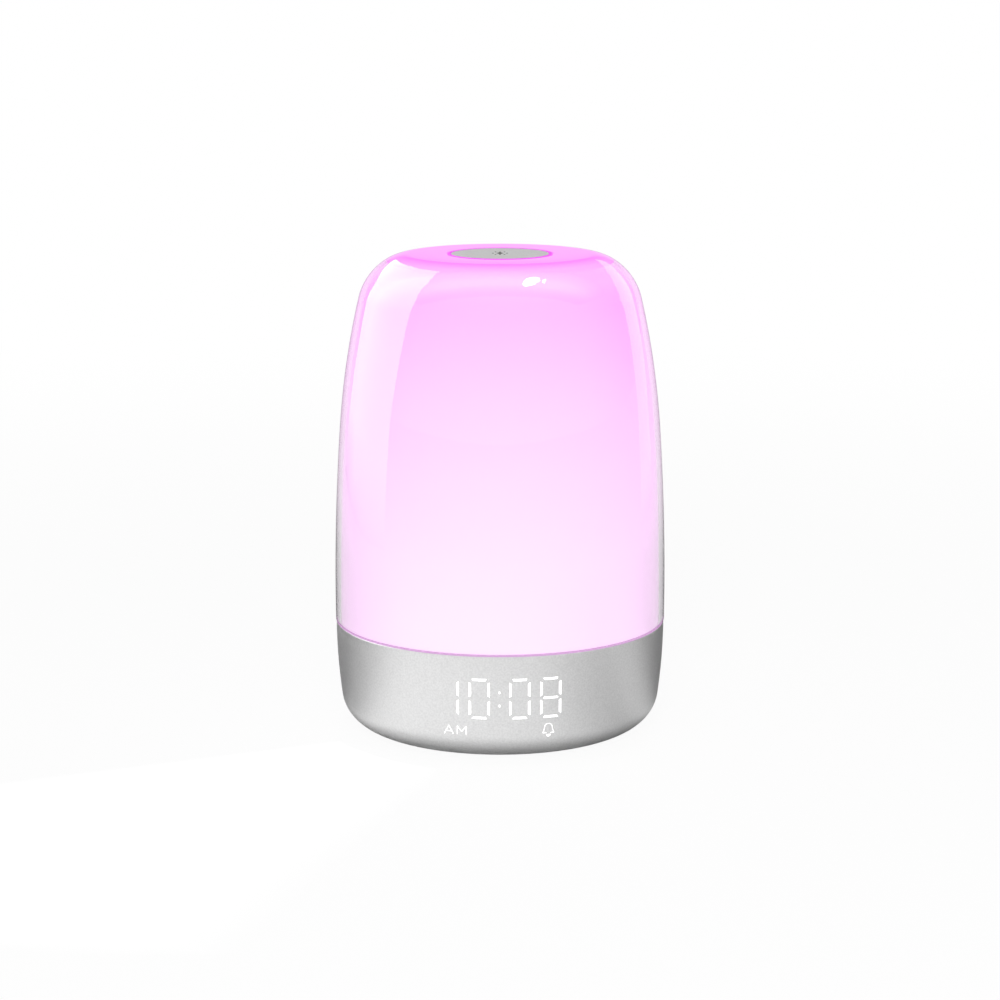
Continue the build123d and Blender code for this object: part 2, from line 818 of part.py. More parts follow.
with BuildPart() as backup_cell:
    with BuildSketch(Plane.XY.offset(board_top + holder_floor)):
        with Locations(holder_place):
            Circle(cell_radius)
    extrude(amount=cell_height)
finish(backup_cell.part, "backup_cell")

# Power inlet on the tongue of the main board
with BuildPart() as inlet_shell:
    with BuildSketch(key_plane(0).offset(inlet_mouth)):
        SlotOverall(inlet_width, inlet_height)
    extrude(amount=-inlet_depth)
    with BuildSketch(key_plane(0).offset(inlet_mouth)):
        SlotOverall(inlet_width - 2 * inlet_wall, inlet_height - 2 * inlet_wall)
    extrude(amount=inlet_wall - inlet_depth, mode=Mode.SUBTRACT)
finish(inlet_shell.part, "inlet_shell")

with BuildPart() as inlet_tongue:
    with BuildSketch(key_plane(0).offset(inlet_mouth - inlet_depth + inlet_wall)):
        Rectangle(*tongue_blade)
    extrude(amount=inlet_depth - inlet_wall - tongue_setback)
finish(inlet_tongue.part, "inlet_tongue")

# Speaker, facing down on the grille
gasket_top = cover_top + speaker_gasket_thickness
basket_top = ring_top + speaker_depth
with BuildPart() as speaker_gasket:
    with BuildSketch(Plane.XY.offset(cover_top)):
        Circle(speaker_radius)
        Circle(flange_inner, mode=Mode.SUBTRACT)
    extrude(amount=speaker_gasket_thickness)
finish(speaker_gasket.part, "speaker_gasket")

with BuildPart() as speaker_basket:
    turned(
        [
            (flange_inner, gasket_top),
            (speaker_radius, gasket_top),
            (speaker_radius, ring_top),
            (flange_inner + basket_wall, ring_top),
            (magnet_radius, basket_top),
            (coil_radius + cone_gap, basket_top),
            (coil_radius + cone_gap, basket_top - basket_wall),
            (magnet_radius - basket_wall, basket_top - basket_wall),
            (flange_inner, ring_top),
        ]
    )
    with BuildSketch(Plane.XY.offset(ring_top)):
        for number in range(basket_windows):
            middle = (number + 0.5) * 360 / basket_windows
            ring_sector(magnet_radius, flange_inner, middle, basket_window_span)
    extrude(amount=speaker_depth - basket_wall, mode=Mode.SUBTRACT)
finish(speaker_basket.part, "speaker_basket")

with BuildPart() as speaker_magnet:
    with BuildSketch(Plane.XY.offset(basket_top)):
        Circle(magnet_radius)
    extrude(amount=magnet_height)
finish(speaker_magnet.part, "speaker_magnet")

# The cone hangs in the basket's mouth, with its rim on the flange's inner edge
cone_top = basket_top - basket_wall - cone_gap
with BuildPart() as speaker_cone:
    with BuildSketch(Plane.XZ):
        with BuildLine():
            Polyline(
                (0, cone_top - cap_sag - cone_thickness),
                (0, cone_top - cap_sag),
                (coil_radius - cone_thickness, cone_top),
                (coil_radius, cone_top),
                (flange_inner - cone_gap, gasket_top + cone_thickness),
                (flange_inner, gasket_top + cone_thickness),
                (flange_inner, gasket_top),
                (flange_inner - cone_gap, gasket_top),
                (coil_radius, cone_top - cone_thickness),
                (coil_radius - cone_thickness, cone_top - cone_thickness),
                close=True,
            )
        make_face()
    revolve(axis=Axis.Z)
finish(speaker_cone.part, "speaker_cone")

with BuildPart() as speaker_retainer:
    with BuildSketch(Plane.XY.offset(ring_top)):
        Circle(ring_outer)
        for angle in ear_angles:
            with Locations(Vector(ear_circle, 0).rotate(Axis.Z, angle)):
                Circle(ear_radius)
        Circle(flange_inner + basket_wall + speaker_clearance, mode=Mode.SUBTRACT)
        for angle in ear_angles:
            with Locations(Vector(ear_circle, 0).rotate(Axis.Z, angle)):
                Circle(small_screw_radius + screw_clearance, mode=Mode.SUBTRACT)
    extrude(amount=retainer_thickness)
finish(speaker_retainer.part, "speaker_retainer")

retainer_top = ring_top + retainer_thickness
with BuildPart() as speaker_screws:
    for radius, length in (
        (small_head_radius, small_head_height),
        (small_screw_radius, -retainer_thickness - small_screw_bite + thread_clearance),
    ):
        with BuildSketch(Plane.XY.offset(retainer_top)):
            for angle in ear_angles:
                with Locations(Vector(ear_circle, 0).rotate(Axis.Z, angle)):
                    Circle(radius)
        extrude(amount=length)
finish(speaker_screws.part, "speaker_screws")

# Clock display: board, lamps and a light box with a window for each segment
digit_steps = [number - (digit_count - 1) / 2 for number in range(digit_count)]
digit_middles = [step * digit_pitch + math.copysign(colon_room / 2, step) for step in digit_steps]
digit_centre = (digit_top + digit_bottom) / 2
bar_length = digit_width - segment_width - segment_gap
post_length = (digit_height - segment_width) / 2 - segment_gap
segment_places = []
for middle in digit_middles:
    for level in (-1, 0, 1):
        segment_places.append((middle, digit_centre + level * (digit_height - segment_width) / 2, 0))
    for side in (-1, 1):
        for level in (-1, 1):
            column = middle + side * (digit_width - segment_width) / 2
            segment_places.append((column, digit_centre + level * (digit_height - segment_width) / 4, 90))
colon_places = [(0, digit_centre + level * colon_rise) for level in (-1, 1)]
sign_centres = [(x, sign_z) for x in sign_places]

with BuildPart() as display_lightbox:
    with BuildSketch(Plane.XZ.offset(-display_front)):
        with Locations((0, window_middle)):
            Rectangle(lightbox_width, lightbox_top - lightbox_bottom)
    extrude(amount=overall_diameter / 2)
    with BuildSketch(Plane.XY.offset(lightbox_bottom)):
        Circle(lightbox_front)
    extrude(amount=lightbox_top - lightbox_bottom, mode=Mode.INTERSECT)
    with BuildSketch(Plane.XZ.offset(-display_front)):
        for x, z, turn in segment_places:
            length = post_length if turn else bar_length
            half, end = segment_width / 2, length / 2 - segment_width / 2
            with Locations(Location((x, z, 0), (0, 0, turn))):
                Polygon(
                    (-length / 2, 0), (-end, -half), (end, -half), (length / 2, 0), (end, half), (-end, half)
                )
        with Locations(*colon_places):
            RegularPolygon(segment_width * 0.6, 8)
        with Locations(*sign_centres):
            Rectangle(*sign_window)
    extrude(amount=overall_diameter / 2, mode=Mode.SUBTRACT)
finish(display_lightbox.part, "display_lightbox")

with BuildPart() as display_board:
    with BuildSketch(Plane.XZ.offset(-display_back)):
        with Locations((0, window_middle)):
            Rectangle(display_width, lightbox_top - lightbox_bottom)
        with Locations(*[(side * display_screw_x, display_screw_z) for side in (-1, 1)]):
            Circle(small_screw_radius + screw_clearance, mode=Mode.SUBTRACT)
    extrude(amount=display_thickness)
finish(display_board.part, "display_board")

with BuildPart() as display_leds:
    with BuildSketch(Plane.XZ.offset(-display_front)):
        for x, z, turn in segment_places:
            with Locations(Location((x, z, 0), (0, 0, turn))):
                Rectangle(*display_led)
        with Locations(*colon_places, *sign_centres):
            Rectangle(display_led[1], display_led[1])
    extrude(amount=display_led_height)
finish(display_leds.part, "display_leds")

with BuildPart() as display_screws:
    for radius, length in (
        (small_head_radius, small_head_height),
        (small_screw_radius, thread_clearance - display_thickness - lug_thickness),
    ):
        with BuildSketch(Plane.XZ.offset(-display_front)):
            with Locations(*[(side * display_screw_x, display_screw_z) for side in (-1, 1)]):
                Circle(radius)
        extrude(amount=length)
finish(display_screws.part, "display_screws")
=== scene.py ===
import bmesh
import bpy
import json
import math
from mathutils import Matrix, Vector


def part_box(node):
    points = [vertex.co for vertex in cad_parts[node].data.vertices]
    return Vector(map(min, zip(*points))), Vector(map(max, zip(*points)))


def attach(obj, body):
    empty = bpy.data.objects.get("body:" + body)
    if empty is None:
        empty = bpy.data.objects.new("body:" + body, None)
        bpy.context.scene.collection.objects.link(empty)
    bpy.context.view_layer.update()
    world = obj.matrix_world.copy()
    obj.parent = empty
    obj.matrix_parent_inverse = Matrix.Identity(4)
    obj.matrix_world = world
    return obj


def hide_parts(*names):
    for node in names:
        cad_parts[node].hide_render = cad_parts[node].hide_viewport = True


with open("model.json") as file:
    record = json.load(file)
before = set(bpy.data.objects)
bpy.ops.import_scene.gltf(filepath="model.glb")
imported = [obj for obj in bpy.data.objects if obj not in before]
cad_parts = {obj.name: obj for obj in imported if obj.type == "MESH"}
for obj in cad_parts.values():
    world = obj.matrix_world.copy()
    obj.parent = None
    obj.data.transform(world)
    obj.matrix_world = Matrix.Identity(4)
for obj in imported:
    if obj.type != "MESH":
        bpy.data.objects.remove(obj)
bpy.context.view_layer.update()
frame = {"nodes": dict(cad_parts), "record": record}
mm = 0.001  # the scene is in metres, sizes below are in millimetres
print("frame loaded")


def hexColour(text, level=1.0):  # sRGB hex to linear colour
    values = [int(text[i:i + 2], 16) / 255 for i in (1, 3, 5)]
    linear = [v / 12.92 if v <= 0.04045 else ((v + 0.055) / 1.055) ** 2.4 for v in values]
    return (*[v * level for v in linear], 1.0)


def addNode(tree, kind, inputs=None, stops=None, **settings):  # one node: settings, links, ramp colours
    node = tree.nodes.new(kind) if isinstance(kind, str) else kind  # one that is there gets more links
    for key, value in settings.items():
        setattr(node, key, value)
    for key, value in (inputs or {}).items():
        if isinstance(value, bpy.types.Node):
            value = value.outputs[0]
        if isinstance(value, bpy.types.NodeSocket):
            tree.links.new(value, node.inputs[key])
        else:
            node.inputs[key].default_value = value
    if stops:
        elements = node.color_ramp.elements
        elements.remove(elements[1])
        elements[0].position = min(stops)
        for place, colour in stops.items():
            element = elements[0] if place == min(stops) else elements.new(place)
            element.color = colour
    return node


def newMaterial(name):
    material = bpy.data.materials.new(name)
    material.use_nodes = True
    tree = material.node_tree
    place = addNode(tree, "ShaderNodeTexCoord").outputs["Object"]
    return material, tree, tree.nodes["Principled BSDF"], place


def patternOf(place, sizeMm, **more):  # inputs of a texture whose pattern has this size
    return {"Vector": place, "Scale": 1000.0 / sizeMm, **more}


def shadesOf(stops):  # ramp colours from hex, by share of the pattern
    return {at: hexColour(colour) for at, colour in stops.items()}


def grainedSurface(tree, shader, finish, grain, sheen=None, relief=None):  # colour, shine and relief
    low, high = finish["roughness"]
    sheen = {"Value": grain if sheen is None else sheen, "To Min": low, "To Max": high}
    relief = {"Height": grain if relief is None else relief, "Distance": finish["depth"] * mm,
              "Strength": finish["relief"]}
    addNode(tree, shader, {
        "Base Color": addNode(tree, "ShaderNodeValToRGB", {"Fac": grain}, shadesOf(finish["shades"])),
        "Metallic": finish.get("metallic", 0.0),
        "Roughness": addNode(tree, "ShaderNodeMapRange", sheen),
        "Normal": addNode(tree, "ShaderNodeBump", relief),
    })


def grainedMaterial(name, finish, part=None):  # one noise, stretched where the material was drawn
    if part:
        name, finish = f"{name}.{part}", {**finish, **finish[part]}
    material, tree, shader, place = newMaterial(name)
    if "drawn" in finish:
        place = addNode(tree, "ShaderNodeMapping", {"Vector": place, "Scale": finish["drawn"]})
    grain = addNode(tree, "ShaderNodeTexNoise", patternOf(place, finish["grain"], Detail=finish["detail"]))
    grainedSurface(tree, shader, finish, grain)
    return material


def litSurface(tree, shader, finish, grain, glow):  # a body that gives light, its shine broken by a pattern
    low, high = finish["roughness"]
    addNode(tree, shader, {
        "Base Color": hexColour(finish["body"]),
        "Roughness": addNode(tree, "ShaderNodeMapRange", {"Value": grain, "To Min": low, "To Max": high}),
        "Emission Color": glow,
        "Emission Strength": finish["strength"],
    })


# Silver lacquer sprayed on moulded ABS: flakes in a satin binder give a broad soft shine and a fine grain
silverLacquer = {
    "flake": 0.55,  # real flakes are near 0.03 mm, drawn coarser so that they show
    "peel": 2.2, "roughness": (0.29, 0.41), "depth": 0.008, "relief": 0.35,
    "bowl": {"shades": {0.3: "#d8d8d8", 0.7: "#e6e6e6"}, "metallic": 0.7},
    "cap": {"shades": {0.3: "#e0e0e0", 0.7: "#ededed"}, "metallic": 0.15},  # lighter and less metallic than the bowl's
}


def silverLacquerMaterial(part):
    material, tree, shader, place = newMaterial(f"sprayedSilverLacquer.{part}")
    finish = {**silverLacquer, **silverLacquer[part]}
    flakes = addNode(tree, "ShaderNodeTexNoise", patternOf(place, finish["flake"], Detail=3.0))
    peel = addNode(tree, "ShaderNodeTexNoise", patternOf(place, finish["peel"]))
    grainedSurface(tree, shader, finish, flakes, sheen=peel)
    return material


# Clear acrylic, injection moulded and polished: sharp reflections, bright edges, a trace of pink dye, a
# painted glow
clearAcrylic = {
    "tints": {0.0: "#ffffff", 1.0: "#ffedff"}, "heights": (60.0, 142.0),  # the tint grows up the wall
    "dye": "#ff7cff", "density": 13.0,  # per metre, shows only where the wall is seen edge on
    # painted pink glow: the lamp's light as if picked up in the clear wall, growing up the wall with the tint
    "ior": 1.49, "flow": 30.0, "haze": 0.015, "paintedPinkGlow": "#ff82ff", "strength": 0.11,
}


def clearAcrylicMaterial():
    material, tree, shader, place = newMaterial("polishedClearAcrylic")
    finish = clearAcrylic
    flow = addNode(tree, "ShaderNodeTexNoise", patternOf(place, finish["flow"]))
    height = addNode(tree, "ShaderNodeSeparateXYZ", {"Vector": place}).outputs["Z"]
    low, high = [z * mm for z in finish["heights"]]
    rise = addNode(tree, "ShaderNodeMapRange", {"Value": height, "From Min": low, "From Max": high})
    level = addNode(tree, "ShaderNodeMath", {0: rise, 1: finish["strength"]}, operation="MULTIPLY")
    dye = {"Color": hexColour(finish["dye"]), "Density": finish["density"]}
    volume = addNode(tree, "ShaderNodeVolumeAbsorption", dye)
    addNode(tree, tree.nodes["Material Output"], {"Volume": volume})
    addNode(tree, shader, {
        "Base Color": addNode(tree, "ShaderNodeValToRGB", {"Fac": rise}, shadesOf(finish["tints"])),
        "Roughness": addNode(tree, "ShaderNodeMapRange", {"Value": flow, "To Max": finish["haze"]}),
        "IOR": finish["ior"],
        "Transmission Weight": 1.0,
        "Emission Color": hexColour(finish["paintedPinkGlow"]),
        "Emission Strength": level,
    })
    return material


# Opal polycarbonate, moulded, lit from inside by a painted glow: deepest at the crown, pale and bright at the
# foot
opalShade = {
    "body": "#959095",
    # painted light and shade: the glow's level falls away from the lamps at the foot, with a lighter band at
    # the shoulder and deeper pink painted at the crown's edge and beside the bezel
    "glow": {0.02: ("#ffd6ff", 0.65), 0.207: ("#ffd1ff", 0.65), 0.37: ("#ffceff", 0.6),
             0.54: ("#ffbcff", 0.6), 0.755: ("#ffa1ff", 0.5), 0.8: ("#ffb0ff", 0.5),
             0.866: ("#ff89ff", 0.8), 0.897: ("#ff4cff", 0.9),
             0.955: ("#ff60ff", 0.9)},  # share of the way from foot to crown: colour and level
    "strength": 1.25, "mottle": 9.0, "roughness": (0.4, 0.6), "rise": 101.5,
}


def opalShadeMaterial():
    material, tree, shader, place = newMaterial("mouldedOpalPolycarbonate")
    finish = opalShade
    mottle = addNode(tree, "ShaderNodeTexNoise", patternOf(place, finish["mottle"]))
    height = addNode(tree, "ShaderNodeSeparateXYZ", {"Vector": place}).outputs["Z"]
    flat = addNode(tree, "ShaderNodeVectorMath", {0: place, 1: (1, 1, 0)}, operation="MULTIPLY")
    reach = addNode(tree, "ShaderNodeVectorMath", {0: flat}, operation="LENGTH").outputs["Value"]
    along = addNode(tree, "ShaderNodeMath", {0: height, 1: reach}, operation="SUBTRACT")  # grows up and in
    first, last = (seamZ - domeHigh[0]) * mm, (seamZ + finish["rise"]) * mm
    rise = addNode(tree, "ShaderNodeMapRange", {"Value": along, "From Min": first, "From Max": last})
    stops = {at: hexColour(colour, level) for at, (colour, level) in finish["glow"].items()}
    glow = addNode(tree, "ShaderNodeValToRGB", {"Fac": rise}, stops)
    litSurface(tree, shader, finish, mottle, glow)
    return material


# Frosted polycarbonate, lit through its thickness: a deep pink edge with a soft, uneven frost
frostedEdge = {
    "bezel": {"body": "#4e224f", "glow": {0.3: "#e84ee8", 0.7: "#f05cf0"}},
    "tray": {"body": "#4e3a4f", "glow": {0.3: "#d0a0d2", 0.7: "#d6a8d7"}},
    "frost": 0.8, "roughness": (0.35, 0.65), "strength": 0.9,
}


def frostedEdgeMaterial(part):
    material, tree, shader, place = newMaterial(f"frostedPolycarbonate.{part}")
    finish = {**frostedEdge, **frostedEdge[part]}
    frost = addNode(tree, "ShaderNodeTexNoise", patternOf(place, finish["frost"]))
    glow = addNode(tree, "ShaderNodeValToRGB", {"Fac": frost}, shadesOf(finish["glow"]))
    litSurface(tree, shader, finish, frost, glow)
    return material


# Display light through the thinned, lacquered wall: white, a little uneven
skinGlow = {"body": "#ffffff", "glow": {0.3: "#fbfcfd", 0.7: "#ffffff"}, "haze": 0.7, "strength": 1.0,
            "roughness": (0.4, 0.65)}


def skinGlowMaterial():
    material, tree, shader, place = newMaterial("litLacquerSkin")
    haze = addNode(tree, "ShaderNodeTexNoise", patternOf(place, skinGlow["haze"]))
    glow = addNode(tree, "ShaderNodeValToRGB", {"Fac": haze}, shadesOf(skinGlow["glow"]))
    litSurface(tree, shader, skinGlow, haze, glow)
    return material


# ABS moulded in a spark-eroded tool: an even pebble breaks up the shine, drawn coarser than its 0.1 mm
mouldedAbs = {
    "relief": 0.5, "detail": 3.0,
    "key": {"shades": {0.3: "#9fa1a2", 0.7: "#b4b6b7"}, "grain": 0.5, "depth": 0.01,
            "roughness": (0.37, 0.57)},
    "cover": {"shades": {0.3: "#262628", 0.7: "#343436"}, "grain": 0.45, "depth": 0.03,
              "roughness": (0.41, 0.77)},
    "plunger": {"shades": {0.3: "#161617", 0.7: "#232324"}, "grain": 0.4, "depth": 0.005,
                "roughness": (0.32, 0.62)},
    "white": {"shades": {0.3: "#e4e4e1", 0.7: "#efefec"}, "grain": 0.6, "depth": 0.01,
              "roughness": (0.35, 0.61)},
}

# Pad-printed ink: a flat dark grey film, a little broken at the grain of the lacquer under it
printedInk = {"shades": {0.3: "#3f3f3c", 0.7: "#5a5a56"}, "grain": 0.3, "detail": 3.0, "depth": 0.004,
              "relief": 1.0, "roughness": (0.42, 0.72)}

# Silicone rubber, press moulded: dull black that dust greys in patches
siliconeRubber = {"shades": {0.35: "#121212", 0.75: "#262625"}, "dust": 1.6, "pores": 0.3, "depth": 0.02,
                  "relief": 0.5, "roughness": (0.6, 0.95)}


def siliconeRubberMaterial():
    material, tree, shader, place = newMaterial("pressMouldedSilicone")
    dust = addNode(tree, "ShaderNodeTexNoise", patternOf(place, siliconeRubber["dust"], Detail=4.0))
    pores = addNode(tree, "ShaderNodeTexNoise", patternOf(place, siliconeRubber["pores"]))
    grainedSurface(tree, shader, siliconeRubber, dust, relief=pores)
    return material


# Closed-cell foam, die cut: small round cells, each with a dark wall
cellFoam = {"shades": {0.15: "#38383a", 0.75: "#161617"}, "size": 0.6, "depth": 0.1, "relief": 0.6,
            "roughness": (0.85, 0.97)}


def cellFoamMaterial():
    material, tree, shader, place = newMaterial("dieCutCellFoam")
    cells = addNode(tree, "ShaderNodeTexVoronoi", patternOf(place, cellFoam["size"]))
    grainedSurface(tree, shader, cellFoam, cells)
    return material


# Pressed paper pulp of the speaker cone: matted fibres, black-dyed, no shine
pressedPulp = {"shades": {0.3: "#1b1a19", 0.7: "#393734"}, "fibre": 1.2, "length": (0.25, 1.0, 1.0),
               "depth": 0.05, "relief": 0.6, "roughness": (0.75, 0.98)}


def pressedPulpMaterial():
    material, tree, shader, place = newMaterial("pressedPaperPulp")
    drawn = addNode(tree, "ShaderNodeMapping", {"Vector": place, "Scale": pressedPulp["length"]})
    fibres = patternOf(drawn, pressedPulp["fibre"], Detail=5.0, Distortion=1.2)
    grainedSurface(tree, shader, pressedPulp, addNode(tree, "ShaderNodeTexNoise", fibres))
    return material


# Glass-fibre board under green solder mask: copper tracks lift the mask and show as paler green lines
maskedBoard = {"shades": {0.26: "#124a2c", 0.28: "#2a7a49", 0.36: "#2a7a49", 0.38: "#124a2c"}, "spacing": 3.2,
               "depth": 0.035, "relief": 0.6, "roughness": (0.26, 0.4)}


def maskedBoardMaterial():
    material, tree, shader, place = newMaterial("solderMaskBoard")
    finish = maskedBoard
    loops = patternOf(place, finish["spacing"], Randomness=0.55)
    away = addNode(tree, "ShaderNodeTexVoronoi", loops, distance="CHEBYCHEV")  # square-cornered, like tracks
    tracks = addNode(tree, "ShaderNodeValToRGB", {"Fac": away}, shadesOf(finish["shades"]))
    grainedSurface(tree, shader, finish, away, relief=tracks)
    return material


# Aluminium lamp board under white solder mask: satin white, faintly rippled where the mask was curtain coated
whiteMask = {"shades": {0.3: "#d9dadb", 0.7: "#ececec"}, "grain": 4.0, "detail": 3.0, "depth": 0.01,
             "relief": 0.4, "roughness": (0.25, 0.47)}

# Lamp package: phosphor in clear silicone, pale yellow grains under a smooth face
lampPhosphor = {"shades": {0.35: "#e7d98a", 0.65: "#f6efc8"}, "grain": 0.25, "detail": 4.0, "depth": 0.004,
                "relief": 0.4, "roughness": (0.12, 0.36)}

# Plated steel: zinc on the screws is greyer and cloudy, nickel on rolled sheet is brighter with fine streaks
platedSteel = {
    "metallic": 1.0, "relief": 0.5, "detail": 3.0,
    "zinc": {"shades": {0.3: "#b3b6b9", 0.7: "#cfd2d4"}, "grain": 0.5, "depth": 0.006,
             "roughness": (0.2, 0.46)},
    "nickel": {"shades": {0.3: "#b9b7b2", 0.7: "#d6d4cf"}, "grain": 0.6, "depth": 0.004,
               "roughness": (0.1, 0.34), "drawn": (0.08, 1, 1)},
}


# Outlines of dome and bowl: tangent arcs that start upright at the widest point
domeShape = {
    "bellyRise": 8.4, "leans": (4.1, 13.3, 55.7), "upperWall": 256.0, "shoulder": 18.9, "crown": 14.3,
    "wall": 1.6, "gap": 0.2, "shade": 1.6, "edge": 0.25, "lip": 0.75, "clearance": 0.1, "around": 224,
    "bond": 0.22, "bondLeans": (24.0, 68.0),  # the shade moves out to the dome between these leans
}
bowlShape = {
    "lean": 7.6, "corner": 11.4, "wall": 2.2, "coverMargin": 2.2, "ledgeWidth": 2.6, "ledge": 1.6,
    "cover": 2.0, "edge": 0.2, "rimBand": 0.3, "around": 240,
    "cutReach": (0.75, 1.2),  # a cutter's ends, as shares of the bowl's radius
}
cornerShare = 0.3  # where the middle of a small rounded edge lies, as a share of its radius
creaseAngle = 32.0  # a fold of more degrees than this stays sharp


def sine(degrees):
    return math.sin(math.radians(degrees))


def nodeBox(name):  # a node's corners in millimetres
    low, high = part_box(name)
    return [v / mm for v in low], [v / mm for v in high]


bowlLow, bowlHigh = nodeBox("base_shell")
domeLow, domeHigh = nodeBox("outer_dome")
seamZ = bowlHigh[2]
flangeTop = domeLow[2]
crownZ = domeHigh[2]
bowlBottom = bowlLow[2]


def arcChain(widest, bends, turn):  # (centre r, centre z, radius, from, to) of each arc
    arcs = []
    centreR, centreZ = widest[0] - bends[0][0], widest[1]
    start, lastRadius = 0.0, bends[0][0]
    for radius, lean in bends:
        centreR += (lastRadius - radius) * math.cos(math.radians(start))
        centreZ += (lastRadius - radius) * math.sin(math.radians(start))
        arcs.append((centreR, centreZ, radius, start, turn * lean))
        start, lastRadius = turn * lean, radius
    return arcs


def domeArcs():
    low, high, shoulderLean = domeShape["leans"]
    rise = crownZ - seamZ - domeShape["bellyRise"]
    rise -= domeShape["upperWall"] * (sine(high) - sine(low))
    rise -= domeShape["shoulder"] * (sine(shoulderLean) - sine(high))
    rise -= domeShape["crown"] * (1 - sine(shoulderLean))
    bends = [(rise / sine(low), low), (domeShape["upperWall"], high), (domeShape["shoulder"], shoulderLean),
             (domeShape["crown"], 90.0)]
    return arcChain((domeHigh[0], seamZ + domeShape["bellyRise"]), bends, 1)


def bowlArcs():
    lean, corner = bowlShape["lean"], bowlShape["corner"]
    wallBend = (seamZ - bowlBottom - corner * (1 - sine(lean))) / sine(lean)
    return arcChain((bowlHigh[0], seamZ), [(wallBend, lean), (corner, 90.0)], -1)


def angleAt(arc, inset, z):
    return math.degrees(math.asin((z - arc[1]) / (arc[2] - inset)))


def wallPoints(arcs, inset, zFirst, zLast=None, bond=0.0):  # points (r, z) along a wall, its top out by bond
    points = []
    step, longest = 2.5, 3.0  # degrees and millimetres from point to point
    bondFrom, bondTo = domeShape["bondLeans"]
    for number, (centreR, centreZ, radius, start, end) in enumerate(arcs):
        if number == 0:
            start = angleAt(arcs[0], inset, zFirst)
        if number == len(arcs) - 1 and zLast is not None:
            end = angleAt(arcs[-1], inset, zLast)
        length = math.radians(abs(end - start)) * (radius - inset)
        count = max(2, math.ceil(abs(end - start) / step), math.ceil(length / longest))
        for i in range(0 if number == 0 else 1, count + 1):
            lean = start + (end - start) * i / count
            along = math.radians(lean)
            grown = min(max((lean - bondFrom) / (bondTo - bondFrom), 0), 1)
            reach = radius - inset + bond * grown * grown * (3 - 2 * grown)
            points.append((centreR + reach * math.cos(along), centreZ + reach * math.sin(along)))
    return points


def wallRadius(arcs, inset, z):  # radius of a wall at a height
    for arc in arcs:
        endZ = arc[1] + (arc[2] - inset) * sine(arc[4])
        if (endZ - z) * (1 if arc[4] > 0 else -1) >= 0:
            break
    return arc[0] + (arc[2] - inset) * math.cos(math.radians(angleAt(arc, inset, z)))


dome = domeArcs()
bowl = bowlArcs()


def newObject(name, data):
    thing = bpy.data.objects.new(name, data)
    bpy.context.scene.collection.objects.link(thing)
    return thing


def meshOf(form, name):  # a finished mesh with its faces turned outwards
    bmesh.ops.recalc_face_normals(form, faces=form.faces)
    mesh = bpy.data.meshes.new(name)
    form.to_mesh(mesh)
    form.free()
    return mesh


def smooth(mesh):
    mesh.shade_smooth()
    mesh.set_sharp_from_angle(angle=math.radians(creaseAngle))


def newPiece(name, mesh, body, material):
    piece = newObject(name, mesh)
    mesh.materials.append(material)
    smooth(mesh)
    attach(piece, body)
    return piece


def turnedMesh(name, outline, around):  # a closed outline of (r, z), or one with both ends on the axis
    form = bmesh.new()
    rings = []
    angles = [2 * math.pi * i / around for i in range(around)]
    for r, z in outline:
        if r < 1e-6:
            rings.append([form.verts.new((0, 0, z * mm))])
            continue
        rings.append([form.verts.new((r * mm * math.cos(a), r * mm * math.sin(a), z * mm)) for a in angles])
    for first, second in zip(rings, rings[1:] + rings[:1]):
        if len(first) == 1 and len(second) == 1:
            continue
        for i in range(around):
            j = (i + 1) % around
            corners = [ring[k % len(ring)] for ring, k in ((first, i), (first, j), (second, j), (second, i))]
            form.faces.new(list(dict.fromkeys(corners)))
    return meshOf(form, name)


def rounded(corners, radius, steps=4, most=0.4):  # an arc at each corner, up to a share of an edge
    points = []
    for before, corner, after in zip(corners[-1:] + corners[:-1], corners, corners[1:] + corners[:1]):
        a, b, c = Vector(before), Vector(corner), Vector(after)
        reach = min(radius, (a - b).length * most, (c - b).length * most)
        start, end = b + (a - b).normalized() * reach, b + (c - b).normalized() * reach
        for i in range(steps + 1):
            t = i / steps
            points.append(tuple(start * (1 - t) ** 2 + b * 2 * t * (1 - t) + end * t ** 2))
    return points


# Dome and shade: closed shells with a round hole in the crown
def shellOutline(outer, inner, hole, bond=0.0):
    outside = wallPoints(dome, outer, flangeTop, bond=bond)
    inside = wallPoints(dome, inner, flangeTop)
    top, under = crownZ - outer + bond, crownZ - inner
    edge = domeShape["edge"]
    corner = edge * cornerShare
    lip = [(hole + domeShape["lip"], top), (hole + edge, top), (hole + corner, top - corner),
           (hole, top - edge), (hole, under)]
    return outside + lip + inside[::-1]


def makeDome(clear, opal):
    clearance, around = domeShape["clearance"], domeShape["around"]
    hole = nodeBox("button_bezel")[1][0] + clearance
    outline = shellOutline(0.0, domeShape["wall"], hole)
    outer = newPiece("clearDome", turnedMesh("clearDome", outline, around), "base", clear)
    outer.visible_shadow = False  # the lamps reach the shade through the clear wall
    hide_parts("outer_dome")
    hole = bezelRing["sleeve"] + clearance
    outside = domeShape["wall"] + domeShape["gap"]
    inside = outside + domeShape["shade"]
    outline = shellOutline(outside, inside, hole, domeShape["bond"])  # bonded crown, so no dark air gap shows
    inner = newPiece("opalShade", turnedMesh("opalShade", outline, around), "base", opal)
    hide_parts("inner_diffuser")
    print("dome and shade made")


# Bowl: turned wall with its rebate, and cut-outs for the keys and the inlet
keyRow = {"angles": {"minus": -34.0, "clock": -18.0, "alarm": 18.0, "plus": 34.0}, "radius": 3.5,
          "clearance": 0.2, "rise": 0.5, "edge": 0.3, "flange": 0.8, "flangeWidth": 0.8, "around": 64}
inletHole = {"width": 8.94, "height": 3.26, "clearance": 0.3, "steps": 20}


def outwardMatrix(angle, z):  # local +Z points out of the bowl, local +Y up
    side, back = sine(angle), math.cos(math.radians(angle))
    axes = Matrix(((-back, 0, side), (side, 0, back), (0, 1, 0))).to_4x4()
    return Matrix.Translation((0, 0, z * mm)) @ axes


